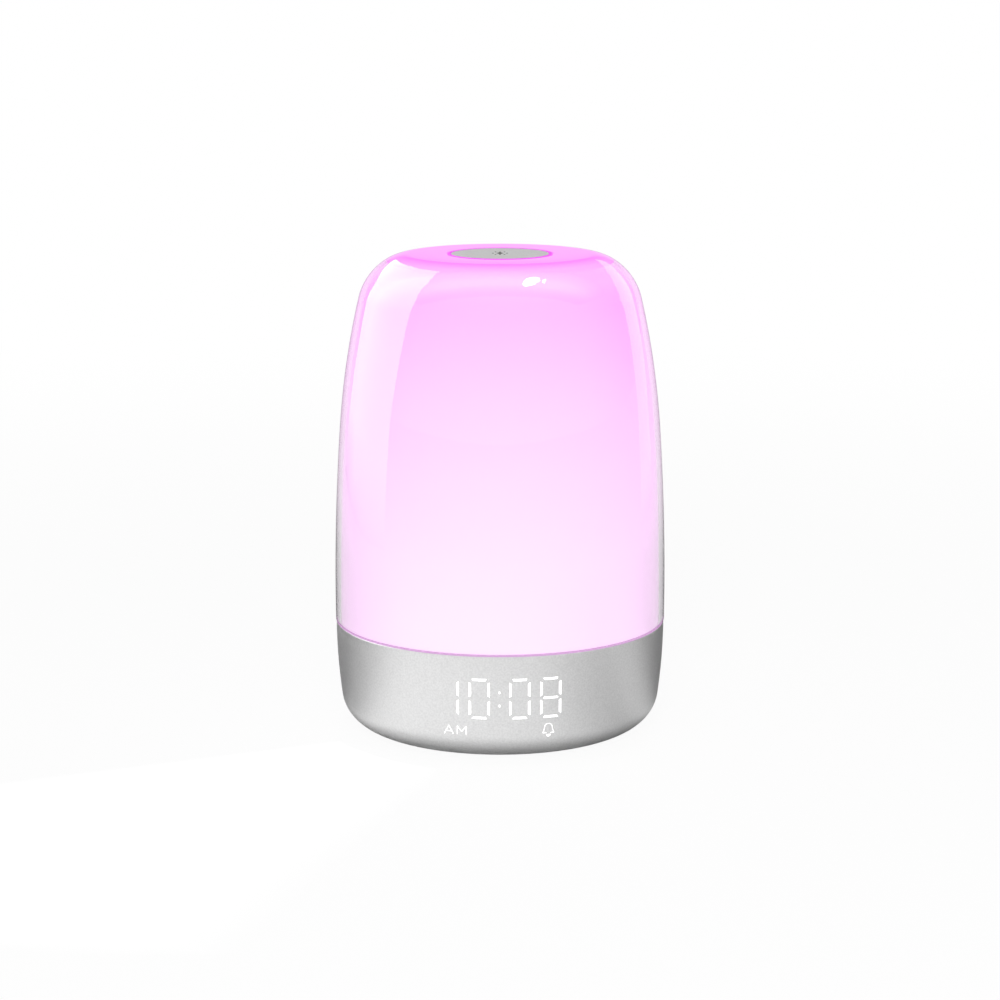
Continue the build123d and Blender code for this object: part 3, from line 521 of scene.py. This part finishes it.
def prismMesh(name, outline, low, high, matrix):  # a flat outline stretched along local Z
    form = bmesh.new()
    bottom = [form.verts.new((x * mm, y * mm, low * mm)) for x, y in outline]
    top = [form.verts.new((x * mm, y * mm, high * mm)) for x, y in outline]
    form.faces.new(bottom)
    form.faces.new(top)
    for i in range(len(outline)):
        j = (i + 1) % len(outline)
        form.faces.new((bottom[i], bottom[j], top[j], top[i]))
    form.transform(matrix)
    return meshOf(form, name)


def circlePoints(radius, count, centre=(0.0, 0.0), start=0.0, sweep=360.0):
    points = []
    for i in range(count):
        a = math.radians(start + sweep * i / count)
        points.append((centre[0] + radius * math.cos(a), centre[1] + radius * math.sin(a)))
    return points


def slotPoints(width, height, steps):
    radius = height / 2
    centre = (width / 2 - radius, 0.0)
    right = circlePoints(radius, steps + 1, centre, -90, 180 * (steps + 1) / steps)
    return right + [(-x, -y) for x, y in right]


def roundedRim(radius, top, edge, steps=6):  # a cap's edge, from its side up to its face
    return circlePoints(edge, steps + 1, (radius - edge, top - edge), 0.0, 90 * (steps + 1) / steps)


def keyRowHeight():
    low, high = nodeBox("inlet_shell")
    return (low[2] + high[2]) / 2


def bowlOutline():
    flat = bowl[-1][0]
    coverRadius = flat - bowlShape["coverMargin"]
    ledgeRadius = coverRadius - bowlShape["ledgeWidth"]
    coverTop = bowlBottom + bowlShape["cover"]
    ledgeTop = coverTop + bowlShape["ledge"]
    edge = bowlShape["edge"]
    corner = edge * cornerShare
    outside = wallPoints(bowl, 0.0, seamZ)
    inside = wallPoints(bowl, bowlShape["wall"], seamZ, ledgeTop)
    widest = outside[0][0]
    rim = [(inside[0][0], seamZ), (widest - edge, seamZ), (widest - corner, seamZ - corner)]
    wall = [(widest, seamZ - edge), (widest, seamZ - bowlShape["rimBand"])] + outside[1:]
    seat = [(coverRadius + edge, bowlBottom), (coverRadius, bowlBottom + edge), (coverRadius, coverTop),
            (ledgeRadius, coverTop), (ledgeRadius, ledgeTop)]
    return rim + wall + seat + inside[:0:-1]


def makeBowl(silver):
    piece = newPiece("silverBowl", turnedMesh("silverBowl", bowlOutline(), bowlShape["around"]), "base",
                     silver)
    rowZ = keyRowHeight()
    hole = keyRow["radius"] + keyRow["clearance"]
    cuts = [(circlePoints(hole, keyRow["around"]), angle) for angle in keyRow["angles"].values()]
    gap = 2 * inletHole["clearance"]
    cuts.append((slotPoints(inletHole["width"] + gap, inletHole["height"] + gap, inletHole["steps"]), 0.0))
    for outline, angle in cuts:
        inner, outer = [bowlHigh[0] * share for share in bowlShape["cutReach"]]
        cutter = newObject("cutter", prismMesh("cutter", outline, inner, outer, outwardMatrix(angle, rowZ)))
        cut = piece.modifiers.new("cut", "BOOLEAN")
        cut.operation, cut.solver, cut.object = "DIFFERENCE", "EXACT", cutter
    bpy.context.view_layer.update()
    graph = bpy.context.evaluated_depsgraph_get()
    mesh = bpy.data.meshes.new_from_object(piece.evaluated_get(graph))
    for cut in list(piece.modifiers):
        cutter = cut.object
        piece.modifiers.remove(cut)
        bpy.data.objects.remove(cutter)
    piece.data = mesh
    smooth(mesh)
    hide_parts("base_shell")
    print("bowl made")


# Frosted edge of the tray, seen as the line between bowl and dome
seamRing = {"inner": 50.4, "proud": 0.03, "around": 240}


def makeSeamRing(frosted):
    out = bowlHigh[0] + seamRing["proud"]
    outline = [(seamRing["inner"], seamZ), (out, seamZ), (out, flangeTop), (seamRing["inner"], flangeTop)]
    mesh = turnedMesh("trayEdge", outline, seamRing["around"])
    newPiece("trayEdge", mesh, "base", frosted)
    print("tray edge made")


# Crown button: flat silver cap in a frosted bezel
crownButton = {"edge": 0.08, "crown": 0.03, "stopGap": 0.9, "slide": 0.2, "guide": 1.2, "inkRoom": 0.08,
               "chamfer": 0.15, "faceSteps": 8, "around": 160}
bezelRing = {"wall": 0.95, "sleeveWall": 0.9, "sleeve": 13.0, "floor": 0.5, "edge": 0.08, "around": 160}


def makeCrown(silver, frosted):
    low, high = nodeBox("button_bezel")
    outer, top, end = high[0], high[2], low[2]
    seat = crownZ - domeShape["wall"] - domeShape["gap"]
    floorTop = seat + bezelRing["floor"]
    sleeve = bezelRing["sleeve"]
    bore = sleeve - bezelRing["sleeveWall"]
    corners = [(bore, end), (sleeve, end), (sleeve, seat), (outer, seat), (outer, top),
               (outer - bezelRing["wall"], top), (outer - bezelRing["wall"], floorTop), (bore, floorTop)]
    outline = rounded(corners, bezelRing["edge"])
    bezel = newPiece("buttonBezel", turnedMesh("buttonBezel", outline, bezelRing["around"]), "base",
                     frosted)
    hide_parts("button_bezel")
    low, high = nodeBox("light_button")
    radius, top, end = high[0], high[2] - crownButton["inkRoom"], low[2]
    under = floorTop + crownButton["stopGap"]
    guide = bore - crownButton["slide"]
    inner = guide - crownButton["guide"]
    edge, chamfer, crown = crownButton["edge"], crownButton["chamfer"], crownButton["crown"]
    shares = [i / crownButton["faceSteps"] for i in range(crownButton["faceSteps"] + 1)]
    outline = [((radius - edge) * share, top - crown * share ** 2) for share in shares]  # a little crowned
    outline += roundedRim(radius, top - crown, edge)[-2::-1]
    outline += [(radius, under + chamfer), (radius - chamfer, under), (guide, under), (guide, end),
                (inner, end), (inner, under), (0.0, under)]
    cap = newPiece("crownCap", turnedMesh("crownCap", outline, crownButton["around"]), "light_button",
                   silver)
    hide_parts("light_button")
    print("crown button made")


# Signs: thin shapes laid on a surface by a function that takes (x, y, height)
def signMesh(name, shapes, lay, top, sunk):  # shapes: lists of pairs of points across a stroke or bar
    form = bmesh.new()
    for pairs in shapes:
        upper = [[form.verts.new(lay(x, y, top)) for x, y in pair] for pair in pairs]
        lower = [[form.verts.new(lay(x, y, -sunk)) for x, y in pair] for pair in pairs]
        for i in range(len(pairs) - 1):
            form.faces.new((upper[i][0], upper[i + 1][0], upper[i + 1][1], upper[i][1]))
            form.faces.new((lower[i][1], lower[i + 1][1], lower[i + 1][0], lower[i][0]))
            for side in (0, 1):
                form.faces.new((upper[i][side], lower[i][side], lower[i + 1][side], upper[i + 1][side]))
        for i in (0, -1):
            form.faces.new((upper[i][0], upper[i][1], lower[i][1], lower[i][0]))
    return meshOf(form, name)


def stroke(points, width, closed=False):  # pairs across a line of even width
    pairs = []
    count = len(points)
    for i, point in enumerate(points):
        before = points[i - 1] if closed or i > 0 else points[i]
        after = points[(i + 1) % count] if closed or i < count - 1 else points[i]
        way = (Vector(after) - Vector(before)).normalized()
        across = Vector((-way.y, way.x)) * width / 2
        pairs.append((tuple(Vector(point) + across), tuple(Vector(point) - across)))
    if closed:
        pairs.append(pairs[0])
    return pairs


def between(first, second, count):  # a straight line in so many parts, so that it can bend with the surface
    (x, y), (endX, endY) = first, second
    return [(x + (endX - x) * i / count, y + (endY - y) * i / count) for i in range(count + 1)]


# Clock display: lit segments in the bowl's front skin
display = {
    "time": "10:08", "digitWidth": 6.36, "digitHeight": 12.8, "pitch": 9.42, "shift": -0.15, "topDrop": 6.95,
    "bar": 0.66, "barTip": 0.1, "barLong": 4.55, "barShort": 3.75, "postLong": 4.7, "postShort": 3.8,
    "postPlace": 3.48, "colonRoom": 2.9, "colonRise": 2.12, "dot": 0.34, "proud": 0.035, "sunk": 0.12,
    "signTop": 22.35, "signFoot": 25.15, "signStroke": 0.13, "letters": (-15.6, -11.7),
    "letterHalves": (1.4, 1.35), "crossHalf": 0.95, "crossRise": 0.95,
    "bell": 14.75, "bellTop": 21.7, "bellHem": 24.75,
}
segmentsOf = {"0": "abcdef", "1": "bc", "8": "abcdefg"}


def layOnBowl(x, z, height):
    radius = wallRadius(bowl, 0.0, z)
    angle = math.asin(x / radius)
    reach = (radius + height) * mm
    return (reach * math.sin(angle), -reach * math.cos(angle), z * mm)


def segmentPairs(kind, x, top):  # one bar of a digit: its outer edge is longer than its inner edge
    half, tall, thick = display["digitWidth"] / 2, display["digitHeight"], display["bar"]
    if kind in "adg":
        middle = {"a": top - thick / 2, "g": top - tall / 2, "d": top - tall + thick / 2}[kind]
        above = display["barLong" if kind == "a" else "barShort"] / 2
        below = display["barLong" if kind == "d" else "barShort"] / 2
        pairs = list(zip(between((x - above, middle + thick / 2), (x + above, middle + thick / 2), 8),
                         between((x - below, middle - thick / 2), (x + below, middle - thick / 2), 8)))
        if kind == "g":  # pointed at both ends
            reach, tip = display["barLong"] / 2, display["barTip"]
            tips = [((x + side, middle + tip), (x + side, middle - tip)) for side in (-reach, reach)]
            pairs = tips[:1] + pairs + tips[1:]
        return pairs
    side = 1 if kind in "bc" else -1
    outer, inner = x + side * half, x + side * (half - thick)
    middle = top - display["postPlace"] if kind in "bf" else top - tall + display["postPlace"]
    long, short = display["postLong"] / 2, display["postShort"] / 2
    return list(zip(between((outer, middle + long), (outer, middle - long), 6),
                    between((inner, middle + short), (inner, middle - short), 6)))


def discPairs(x, z, radius, stretch=1.0, steps=12, blunt=0.01):  # a round or oval dot with blunt ends
    pairs = []
    for i in range(steps + 1):
        turn = math.radians(180 * i / steps)
        along, half = -radius * math.cos(turn), stretch * radius * math.sin(turn) + blunt
        pairs.append(((x + along, z + half), (x + along, z - half)))
    return pairs


def digitPlaces():
    inner = (display["pitch"] + display["colonRoom"]) / 2
    places = [-inner - display["pitch"], -inner, inner, inner + display["pitch"]]
    return [place + display["shift"] for place in places]


# Bell in outline with a gap in its hem and a clapper below: shares of its height, half width and line
bellForm = {"wide": 0.56, "arch": 0.68, "waist": 0.8, "waistRise": 0.3, "hemEnd": 0.4, "hemGap": 0.34,
            "clapper": 0.42, "drop": 0.15, "blunt": 0.02, "archSteps": 12}


def bellShapes(x, top, hem, line):
    tall = top - hem
    wide = tall * bellForm["wide"]
    radius, steps = wide * bellForm["arch"], bellForm["archSteps"]
    arch = circlePoints(radius, steps + 1, (x, top - radius), 180, -180 * (steps + 1) / steps)
    left = [(x - wide, hem), (x - wide * bellForm["waist"], hem + tall * bellForm["waistRise"])]
    right = [(2 * x - px, pz) for px, pz in left[::-1]]
    end, gap = wide + line * bellForm["hemEnd"], wide * bellForm["hemGap"]
    hems = [stroke(between((x + side * end, hem), (x + side * gap, hem), 3), line) for side in (-1, 1)]
    drop = hem - line / 2 - tall * bellForm["drop"]
    radius = wide * bellForm["clapper"]
    clapper = []
    for share in (-1, -0.7, -0.3, 0, 0.3, 0.7, 1):  # half a disc
        deep = radius * math.sqrt(1 - share * share) + bellForm["blunt"]
        clapper.append(((x + radius * share, drop), (x + radius * share, drop - deep)))
    return [stroke(left + arch + right, line)] + hems + [clapper]


def makeDisplay(glow):
    top = seamZ - display["topDrop"]
    shapes = []
    for digit, x in zip(display["time"].replace(":", ""), digitPlaces()):
        shapes += [segmentPairs(kind, x, top) for kind in segmentsOf[digit]]
    middle = top - display["digitHeight"] / 2
    for side in (-1, 1):
        shapes.append(discPairs(display["shift"], middle + side * display["colonRise"], display["dot"]))
    signTop, signLow = seamZ - display["signTop"], seamZ - display["signFoot"]
    line = display["signStroke"]
    a, m = display["letters"]  # middles of the two letters
    halfA, halfM = display["letterHalves"]
    cross, low = display["crossHalf"], signLow + display["crossRise"]
    shapes += [stroke(points, line) for points in (
        between((a - halfA, signLow), (a, signTop), 4), between((a, signTop), (a + halfA, signLow), 4),
        between((a - cross, low), (a + cross, low), 3),
        between((m - halfM, signLow), (m - halfM, signTop), 3),
        between((m - halfM, signTop), (m, low), 4), between((m, low), (m + halfM, signTop), 4),
        between((m + halfM, signTop), (m + halfM, signLow), 3))]
    shapes += bellShapes(display["bell"], seamZ - display["bellTop"], seamZ - display["bellHem"], line)
    mesh = signMesh("timeDisplay", shapes, layOnBowl, display["proud"], display["sunk"])
    newPiece("timeDisplay", mesh, "base", glow)
    print("display made")


# Printed brightness sign on the crown button
brightSign = {"across": 1.15, "deep": 5.0, "waist": (0.45, 1.7), "blunt": 0.05,
              "dots": ((1.4, 3.8), (1.4, -3.8), (2.2, 0.0)), "dot": 0.3, "stretch": 2.4, "proud": 0.02,
              "sunk": 0.1}


def makeBrightSign(ink):
    top = nodeBox("light_button")[1][2] - crownButton["inkRoom"]

    def layOnCap(x, y, height):
        return (x * mm, y * mm, (top + height) * mm)

    waist, waistDeep = brightSign["waist"]
    across, deep, blunt = brightSign["across"], brightSign["deep"], brightSign["blunt"]
    star = ((-across, blunt), (-waist, waistDeep), (0.0, deep), (waist, waistDeep), (across, blunt))
    shapes = [[((x, y), (x, -y)) for x, y in star]]
    for x, y in brightSign["dots"]:
        shapes += [discPairs(side * x, y, brightSign["dot"], brightSign["stretch"]) for side in (-1, 1)]
    mesh = signMesh("brightnessSign", shapes, layOnCap, brightSign["proud"], brightSign["sunk"])
    newPiece("brightnessSign", mesh, "light_button", ink)
    print("brightness sign made")


# Keys at the back: bowed caps with a printed sign each
keySign = {"line": 0.45, "reach": 1.55, "hands": (0.6, 0.55), "hem": 0.75, "proud": 0.03, "sunk": 0.1}


def keySigns(name):
    line, reach = keySign["line"], keySign["reach"]
    bar = stroke(between((-reach, 0), (reach, 0), 6), line)
    if name == "minus":
        return [bar]
    if name == "plus":
        post = [stroke(between((0, side * line / 2), (0, side * reach), 3), line) for side in (-1, 1)]
        return [bar] + post
    if name == "clock":
        ring = stroke(circlePoints(reach, 36), line, closed=True)
        up, left = [reach * share for share in keySign["hands"]]
        hands = [stroke(between((0, -line / 2), (0, up), 3), line),
                 stroke(between((-line / 2, 0), (-left, 0), 3), line)]
        return [ring] + hands
    return bellShapes(0.0, reach, -reach * keySign["hem"], line)


def makeKeys(keyAbs, ink):
    rowZ = keyRowHeight()
    skin = wallRadius(bowl, 0.0, rowZ)
    front = skin + keyRow["rise"]
    radius, edge = keyRow["radius"], keyRow["edge"]
    wide = radius + keyRow["flangeWidth"]
    for name, angle in keyRow["angles"].items():
        node = frame["nodes"][f"{name}_key"]
        matrix = outwardMatrix(angle, rowZ)
        reach = [(matrix.inverted() @ vertex.co).z / mm for vertex in node.data.vertices]
        back = min(reach)
        flange = back + keyRow["flange"]
        outline = [(0.0, back), (wide, back), (wide, flange), (radius, flange)]
        outline += roundedRim(radius, front, edge)
        outline += [((radius - edge) * share, front) for share in (0.8, 0.6, 0.4, 0.2, 0.0)]
        mesh = turnedMesh(f"{name}Cap", outline, keyRow["around"])
        for vertex in mesh.vertices:  # bow the cap like the bowl, front and edge only
            if vertex.co.z > flange * mm + 1e-6:
                vertex.co.z -= vertex.co.x ** 2 / (2 * skin * mm)
        mesh.transform(matrix)
        cap = newPiece(f"{name}Cap", mesh, f"{name}_key", keyAbs)
        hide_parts(f"{name}_key")

        def layOnCap(x, y, height):
            point = Vector((-x * mm, y * mm, (front + height) * mm - (x * mm) ** 2 / (2 * skin * mm)))
            return matrix @ point

        mesh = signMesh(f"{name}Sign", keySigns(name), layOnCap, keySign["proud"], keySign["sunk"])
        newPiece(f"{name}Sign", mesh, f"{name}_key", ink)
    print("keys made")


def dressNodes(finishes):  # finishes for the CAD nodes that stay, by the record's slot
    for entry in frame["record"]["subparts"]:
        node = frame["nodes"][entry["node"]]
        for place in node.material_slots:
            place.material = finishes[entry["material_slot"]]
    print("nodes dressed")


# Studio: camera from the fitted view, soft lamps, panels that only show as reflections, white ground
studio = {
    "cameraPlace": (0.0, -0.8551, 0.245), "pitch": 11.38, "lens": 98.75,
    "ambient": 0.22, "floorSize": 14.0, "floor": "#f4f4f4",
    "nearGlow": 0.94, "nearReach": 0.15, "farReach": 0.9,
    "roomFront": 0.95, "roomBack": 0.2, "roomEdge": (-0.4, 0.35), "floorFar": 0.45, "farEdge": (0.22, 0.45),
    # painted shadow at the object's foot, seen only in the gloss: its reach in metres and its level
    "paintedFootShadow": (0.046, 0.056), "paintedFootShadowLevel": 0.15,
    "around": {-180: 0.08, -110: 0.1, -85: 0.47, -65: 1.03, -50: 1.13, 0: 0.93, 20: 0.85, 47: 0.53, 63: 0.43,
               80: 0.66, 92: 0.54, 110: 0.1, 180: 0.05},  # floor in the gloss, by degrees from the front
    "backGlow": (0.58, 0.15), "backRise": (0.1, 0.2), "backWidth": (0.8, 0.95),  # low and straight behind
}
lamps = {  # a soft key and fill that leave no spot of their own on the gloss, and a broad overhead panel
    "key": {"place": (-0.06, -1.27, 0.62), "size": (0.5, 0.5), "level": 17.0, "aim": (0, 0, 0.06)},
    "fill": {"place": (0.75, -0.95, 0.45), "size": (0.5, 0.5), "level": 1.0, "aim": (0, 0, 0.06)},
    "overhead": {"place": (0.0, -0.1, 1.1), "size": (0.5, 0.5), "level": 3.5, "aim": (0, -0.1, 0)},
}
cards = {  # light panels that only show as reflections: corner points, and levels along an axis in metres
    "left": {"plane": ("x", -0.40), "level": 6.8,
             "fades": {"Z": {-0.03: 0.0, 0.0: 0.03, 0.06: 0.36, 0.1: 0.45, 0.16: 0.62, 0.27: 0.85,
                             0.45: 0.9},
                       "Y": {0.1: 1.0, 0.22: 0.93, 0.3: 0.7, 0.45: 0.53, 0.9: 0.42}},
             "points": ((0.43, -0.03), (0.38, 0.07), (0.37, 0.12), (0.43, 0.28), (0.5, 0.34), (0.64, 0.39),
                        (1.15, 0.51), (2.3, 0.7), (1.22, 0.81), (0.76, 0.92), (0.64, 1.2), (0.21, 0.83),
                        (0.05, 0.66), (-0.1, 0.37), (-0.12, 0.24), (-0.07, 0.1), (-0.05, -0.03))},
    "right": {"plane": ("x", 0.40), "level": 1.95,
              "fades": {"Z": {-0.03: 0.02, 0.0: 0.16, 0.03: 0.47, 0.13: 0.72, 0.2: 1.0, 0.3: 0.9,
                              0.5: 0.55}},
              "points": ((0.32, -0.03), (0.34, 0.07), (0.4, 0.12), (0.39, 0.18), (0.5, 0.3), (0.72, 0.43),
                         (1.23, 0.57), (3.0, 1.0), (1.24, 0.73), (0.56, 0.53), (0.29, 0.38), (0.17, 0.24),
                         (0.18, 0.16), (0.14, -0.03))},
    "top": {"plane": ("z", 1.15), "level": 2.6,
            "fades": {"Y": {-0.7: 0.0, -0.5: 0.1, -0.33: 0.5, -0.17: 1.1, 0.0: 1.1, 0.19: 0.6, 0.48: 0.2,
                            0.6: 0.0},
                      "X": {-2.0: 0.0, -0.5: 1.0, 0.5: 1.0, 2.0: 0.0}},
            "points": ((-2.0, -0.7), (2.0, -0.7), (2.0, 0.6), (-2.0, 0.6))},
    "oval": {"plane": ("z", 1.0), "level": 16.0, "oval": (0.232, -0.03, 0.062, 0.187, 0.0)},
    "spot": {"plane": ("z", 1.0), "level": 12.0, "oval": (0.333, 0.034, 0.02, 0.087, 13.0)},
}


def addLamp(name, lamp):
    light = bpy.data.lights.new(name, "AREA")
    light.shape = "RECTANGLE"
    light.size, light.size_y = lamp["size"]
    light.energy = lamp["level"] * math.pi * light.size * light.size_y  # level is its own brightness
    holder = newObject(name, light)
    holder.location = lamp["place"]
    way = Vector(lamp["aim"]) - Vector(lamp["place"])
    holder.rotation_euler = way.to_track_quat("-Z", "Y").to_euler()
    holder.visible_glossy = holder.visible_transmission = False


def addCard(name, card):
    axis, place = card["plane"]
    if "oval" in card:
        x, y, halfX, halfY, turn = card["oval"]
        spin = Matrix.Rotation(math.radians(turn), 2)
        around = [Vector((halfX * px, halfY * py)) for px, py in circlePoints(1.0, 40)]
        outline = [spin @ point + Vector((x, y)) for point in around]
    else:
        outline = card["points"]
    corners = [(place, a, b) if axis == "x" else (a, b, place) for a, b in outline]
    mesh = bpy.data.meshes.new(f"{name}Card")
    mesh.from_pydata(corners, [], [tuple(range(len(corners)))])
    material, tree, shader, spot = newMaterial(f"{name}Card")
    tree.nodes.remove(shader)
    level = card["level"]
    for along, levels in card.get("fades", {}).items():
        low, high = min(levels), max(levels)
        way = addNode(tree, "ShaderNodeSeparateXYZ", {"Vector": spot}).outputs[along]
        share = addNode(tree, "ShaderNodeMapRange", {"Value": way, "From Min": low, "From Max": high})
        stops = {(at - low) / (high - low): hexColour("#ffffff", value) for at, value in levels.items()}
        fade = addNode(tree, "ShaderNodeValToRGB", {"Fac": share}, stops)
        level = addNode(tree, "ShaderNodeMath", {0: level, 1: fade}, operation="MULTIPLY")
    light = addNode(tree, "ShaderNodeEmission", {"Strength": level})
    addNode(tree, tree.nodes["Material Output"], {"Surface": light})
    material.cycles.emission_sampling = "NONE"  # a panel shows in the gloss but lights nothing
    mesh.materials.append(material)
    panel = newObject(f"{name}Card", mesh)
    panel.visible_camera = panel.visible_diffuse = panel.visible_transmission = panel.visible_shadow = False


def directView(tree, path):  # 1 for what the camera sees straight or through the clear dome
    rays = {0: path["Is Camera Ray"], 1: path["Is Transmission Ray"]}
    seen = addNode(tree, "ShaderNodeMath", rays, operation="MAXIMUM")
    first = addNode(tree, "ShaderNodeMath", {0: path["Diffuse Depth"], 1: 0.5}, operation="LESS_THAN")
    return addNode(tree, "ShaderNodeMath", {0: seen, 1: first}, operation="MULTIPLY")


def makeFloor():
    half = studio["floorSize"] / 2
    mesh = bpy.data.meshes.new("floor")
    corners = [(-half, -half, 0), (half, -half, 0), (half, half, 0), (-half, half, 0)]
    mesh.from_pydata(corners, [], [(0, 1, 2, 3)])
    floor = newObject("floor", mesh)
    material, tree, shader, place = newMaterial("paleFloor")
    dull = {"Base Color": hexColour(studio["floor"]), "Roughness": 0.9, "Specular IOR Level": 0.0}
    addNode(tree, shader, dull)
    away = addNode(tree, "ShaderNodeVectorMath", {0: place}, operation="LENGTH").outputs["Value"]
    reach = {"Value": away, "From Min": studio["nearReach"], "From Max": studio["farReach"],
             "To Min": studio["nearGlow"], "To Max": 1.0}  # plain white far off, shadow beside the object
    white = addNode(tree, "ShaderNodeMapRange", reach, interpolation_type="SMOOTHSTEP")
    path = addNode(tree, "ShaderNodeLightPath").outputs
    seen = directView(tree, path)
    share = addNode(tree, "ShaderNodeMath", {0: seen, 1: white}, operation="MULTIPLY")
    share = addNode(tree, "ShaderNodeMath", {0: share, 1: path["Is Glossy Ray"]}, operation="MAXIMUM")
    parts = addNode(tree, "ShaderNodeSeparateXYZ", {"Vector": place}).outputs  # for what the gloss sees
    front = addNode(tree, "ShaderNodeMath", {0: parts["Y"], 1: -1.0}, operation="MULTIPLY")
    turn = addNode(tree, "ShaderNodeMath", {0: parts["X"], 1: front}, operation="ARCTAN2")
    turn = addNode(tree, "ShaderNodeMapRange", {"Value": turn, "From Min": -math.pi, "From Max": math.pi})
    levels = {(angle + 180) / 360: hexColour("#ffffff", level) for angle, level in studio["around"].items()}
    room = addNode(tree, "ShaderNodeValToRGB", {"Fac": turn}, levels)
    near, far = studio["farEdge"]
    beyond = addNode(tree, "ShaderNodeMapRange", {"Value": away, "From Min": near, "From Max": far})
    room = addNode(tree, "ShaderNodeMix", {0: beyond, 2: room, 3: studio["floorFar"]})
    near, far = studio["paintedFootShadow"]  # painted shadow at the object's foot, on the floor as the gloss sees it
    paintedFootShadow = {"Value": away, "From Min": near, "From Max": far, "To Min": studio["paintedFootShadowLevel"]}
    paintedFootShadow = addNode(tree, "ShaderNodeMapRange", paintedFootShadow)
    room = addNode(tree, "ShaderNodeMath", {0: room, 1: paintedFootShadow}, operation="MULTIPLY")
    level = addNode(tree, "ShaderNodeMath", {0: seen, 1: room}, operation="MAXIMUM")
    light = addNode(tree, "ShaderNodeEmission", {"Strength": level})
    mixed = addNode(tree, "ShaderNodeMixShader", {0: share, 1: shader, 2: light})
    addNode(tree, tree.nodes["Material Output"], {"Surface": mixed})
    mesh.materials.append(material)


def makeWorld():  # white to the camera and through the dome, in the gloss bright in front and dimmer behind
    world = bpy.data.worlds.new("studio")
    world.use_nodes = True
    tree = world.node_tree
    way = addNode(tree, "ShaderNodeTexCoord").outputs["Generated"]
    parts = addNode(tree, "ShaderNodeSeparateXYZ", {"Vector": way}).outputs
    path = addNode(tree, "ShaderNodeLightPath").outputs
    near, far = studio["roomEdge"]
    room = {"Value": parts["Y"], "From Min": near, "From Max": far, "To Min": studio["roomFront"],
            "To Max": studio["roomBack"]}
    room = addNode(tree, "ShaderNodeMapRange", room)
    low, high = studio["backGlow"]
    foot, top = studio["backRise"]
    glow = {"Value": parts["Z"], "From Min": foot, "From Max": top, "To Min": low, "To Max": high}
    glow = addNode(tree, "ShaderNodeMapRange", glow)
    near, far = studio["backWidth"]
    width = addNode(tree, "ShaderNodeMapRange", {"Value": parts["Y"], "From Min": near, "From Max": far})
    glow = addNode(tree, "ShaderNodeMath", {0: glow, 1: width}, operation="MULTIPLY")
    room = addNode(tree, "ShaderNodeMath", {0: room, 1: glow}, operation="MAXIMUM")
    room = addNode(tree, "ShaderNodeMath", {0: room, 1: path["Is Glossy Ray"]}, operation="MULTIPLY")
    level = addNode(tree, "ShaderNodeMath", {0: directView(tree, path), 1: room}, operation="MAXIMUM")
    level = addNode(tree, "ShaderNodeMath", {0: level, 1: studio["ambient"]}, operation="MAXIMUM")
    addNode(tree, tree.nodes["Background"], {"Color": (1, 1, 1, 1), "Strength": level})
    bpy.context.scene.world = world


def makeCamera():
    camera = bpy.data.cameras.new("camera")
    camera.sensor_fit = "HORIZONTAL"
    camera.sensor_width = 36.0
    camera.lens = studio["lens"]
    holder = newObject("camera", camera)
    holder.location = studio["cameraPlace"]
    holder.rotation_euler = (math.radians(90 - studio["pitch"]), 0, 0)
    bpy.context.scene.camera = holder


def makeStudio():
    for name, lamp in lamps.items():
        addLamp(name, lamp)
    for name, card in cards.items():
        addCard(name, card)
    makeFloor()
    makeWorld()
    makeCamera()
    bpy.context.scene.view_settings.view_transform = "Standard"
    print("studio ready")


silver, capSilver = silverLacquerMaterial("bowl"), silverLacquerMaterial("cap")
clear, opal = clearAcrylicMaterial(), opalShadeMaterial()
glow, ink = skinGlowMaterial(), grainedMaterial("padPrintedInk", printedInk)
bezelFrost, trayFrost = frostedEdgeMaterial("bezel"), frostedEdgeMaterial("tray")
keyAbs = grainedMaterial("mouldedAbs", mouldedAbs, "key")
finishes = {  # by the record's slot
    "silver_paint": silver, "key_plastic": keyAbs, "clear_plastic": clear, "clear_post": clear,
    "opal_plastic": opal, "frosted_plastic": trayFrost, "rubber": siliconeRubberMaterial(),
    "dark_plastic": grainedMaterial("mouldedAbs", mouldedAbs, "cover"),
    "plunger_plastic": grainedMaterial("mouldedAbs", mouldedAbs, "plunger"),
    "white_plastic": grainedMaterial("mouldedAbs", mouldedAbs, "white"),
    "zinc_steel": grainedMaterial("platedSteel", platedSteel, "zinc"),
    "steel_sheet": grainedMaterial("platedSteel", platedSteel, "nickel"),
    "board_aluminium": grainedMaterial("curtainCoatedWhiteMask", whiteMask),
    "lamp_package": grainedMaterial("pottedLampPhosphor", lampPhosphor),
    "board_laminate": maskedBoardMaterial(), "speaker_paper": pressedPulpMaterial(),
    "foam": cellFoamMaterial(),
}
print("materials made")

makeStudio()
dressNodes(finishes)
makeDome(clear, opal)
makeBowl(silver)
makeSeamRing(trayFrost)
makeCrown(capSilver, bezelFrost)
makeDisplay(glow)
makeBrightSign(ink)
makeKeys(keyAbs, ink)
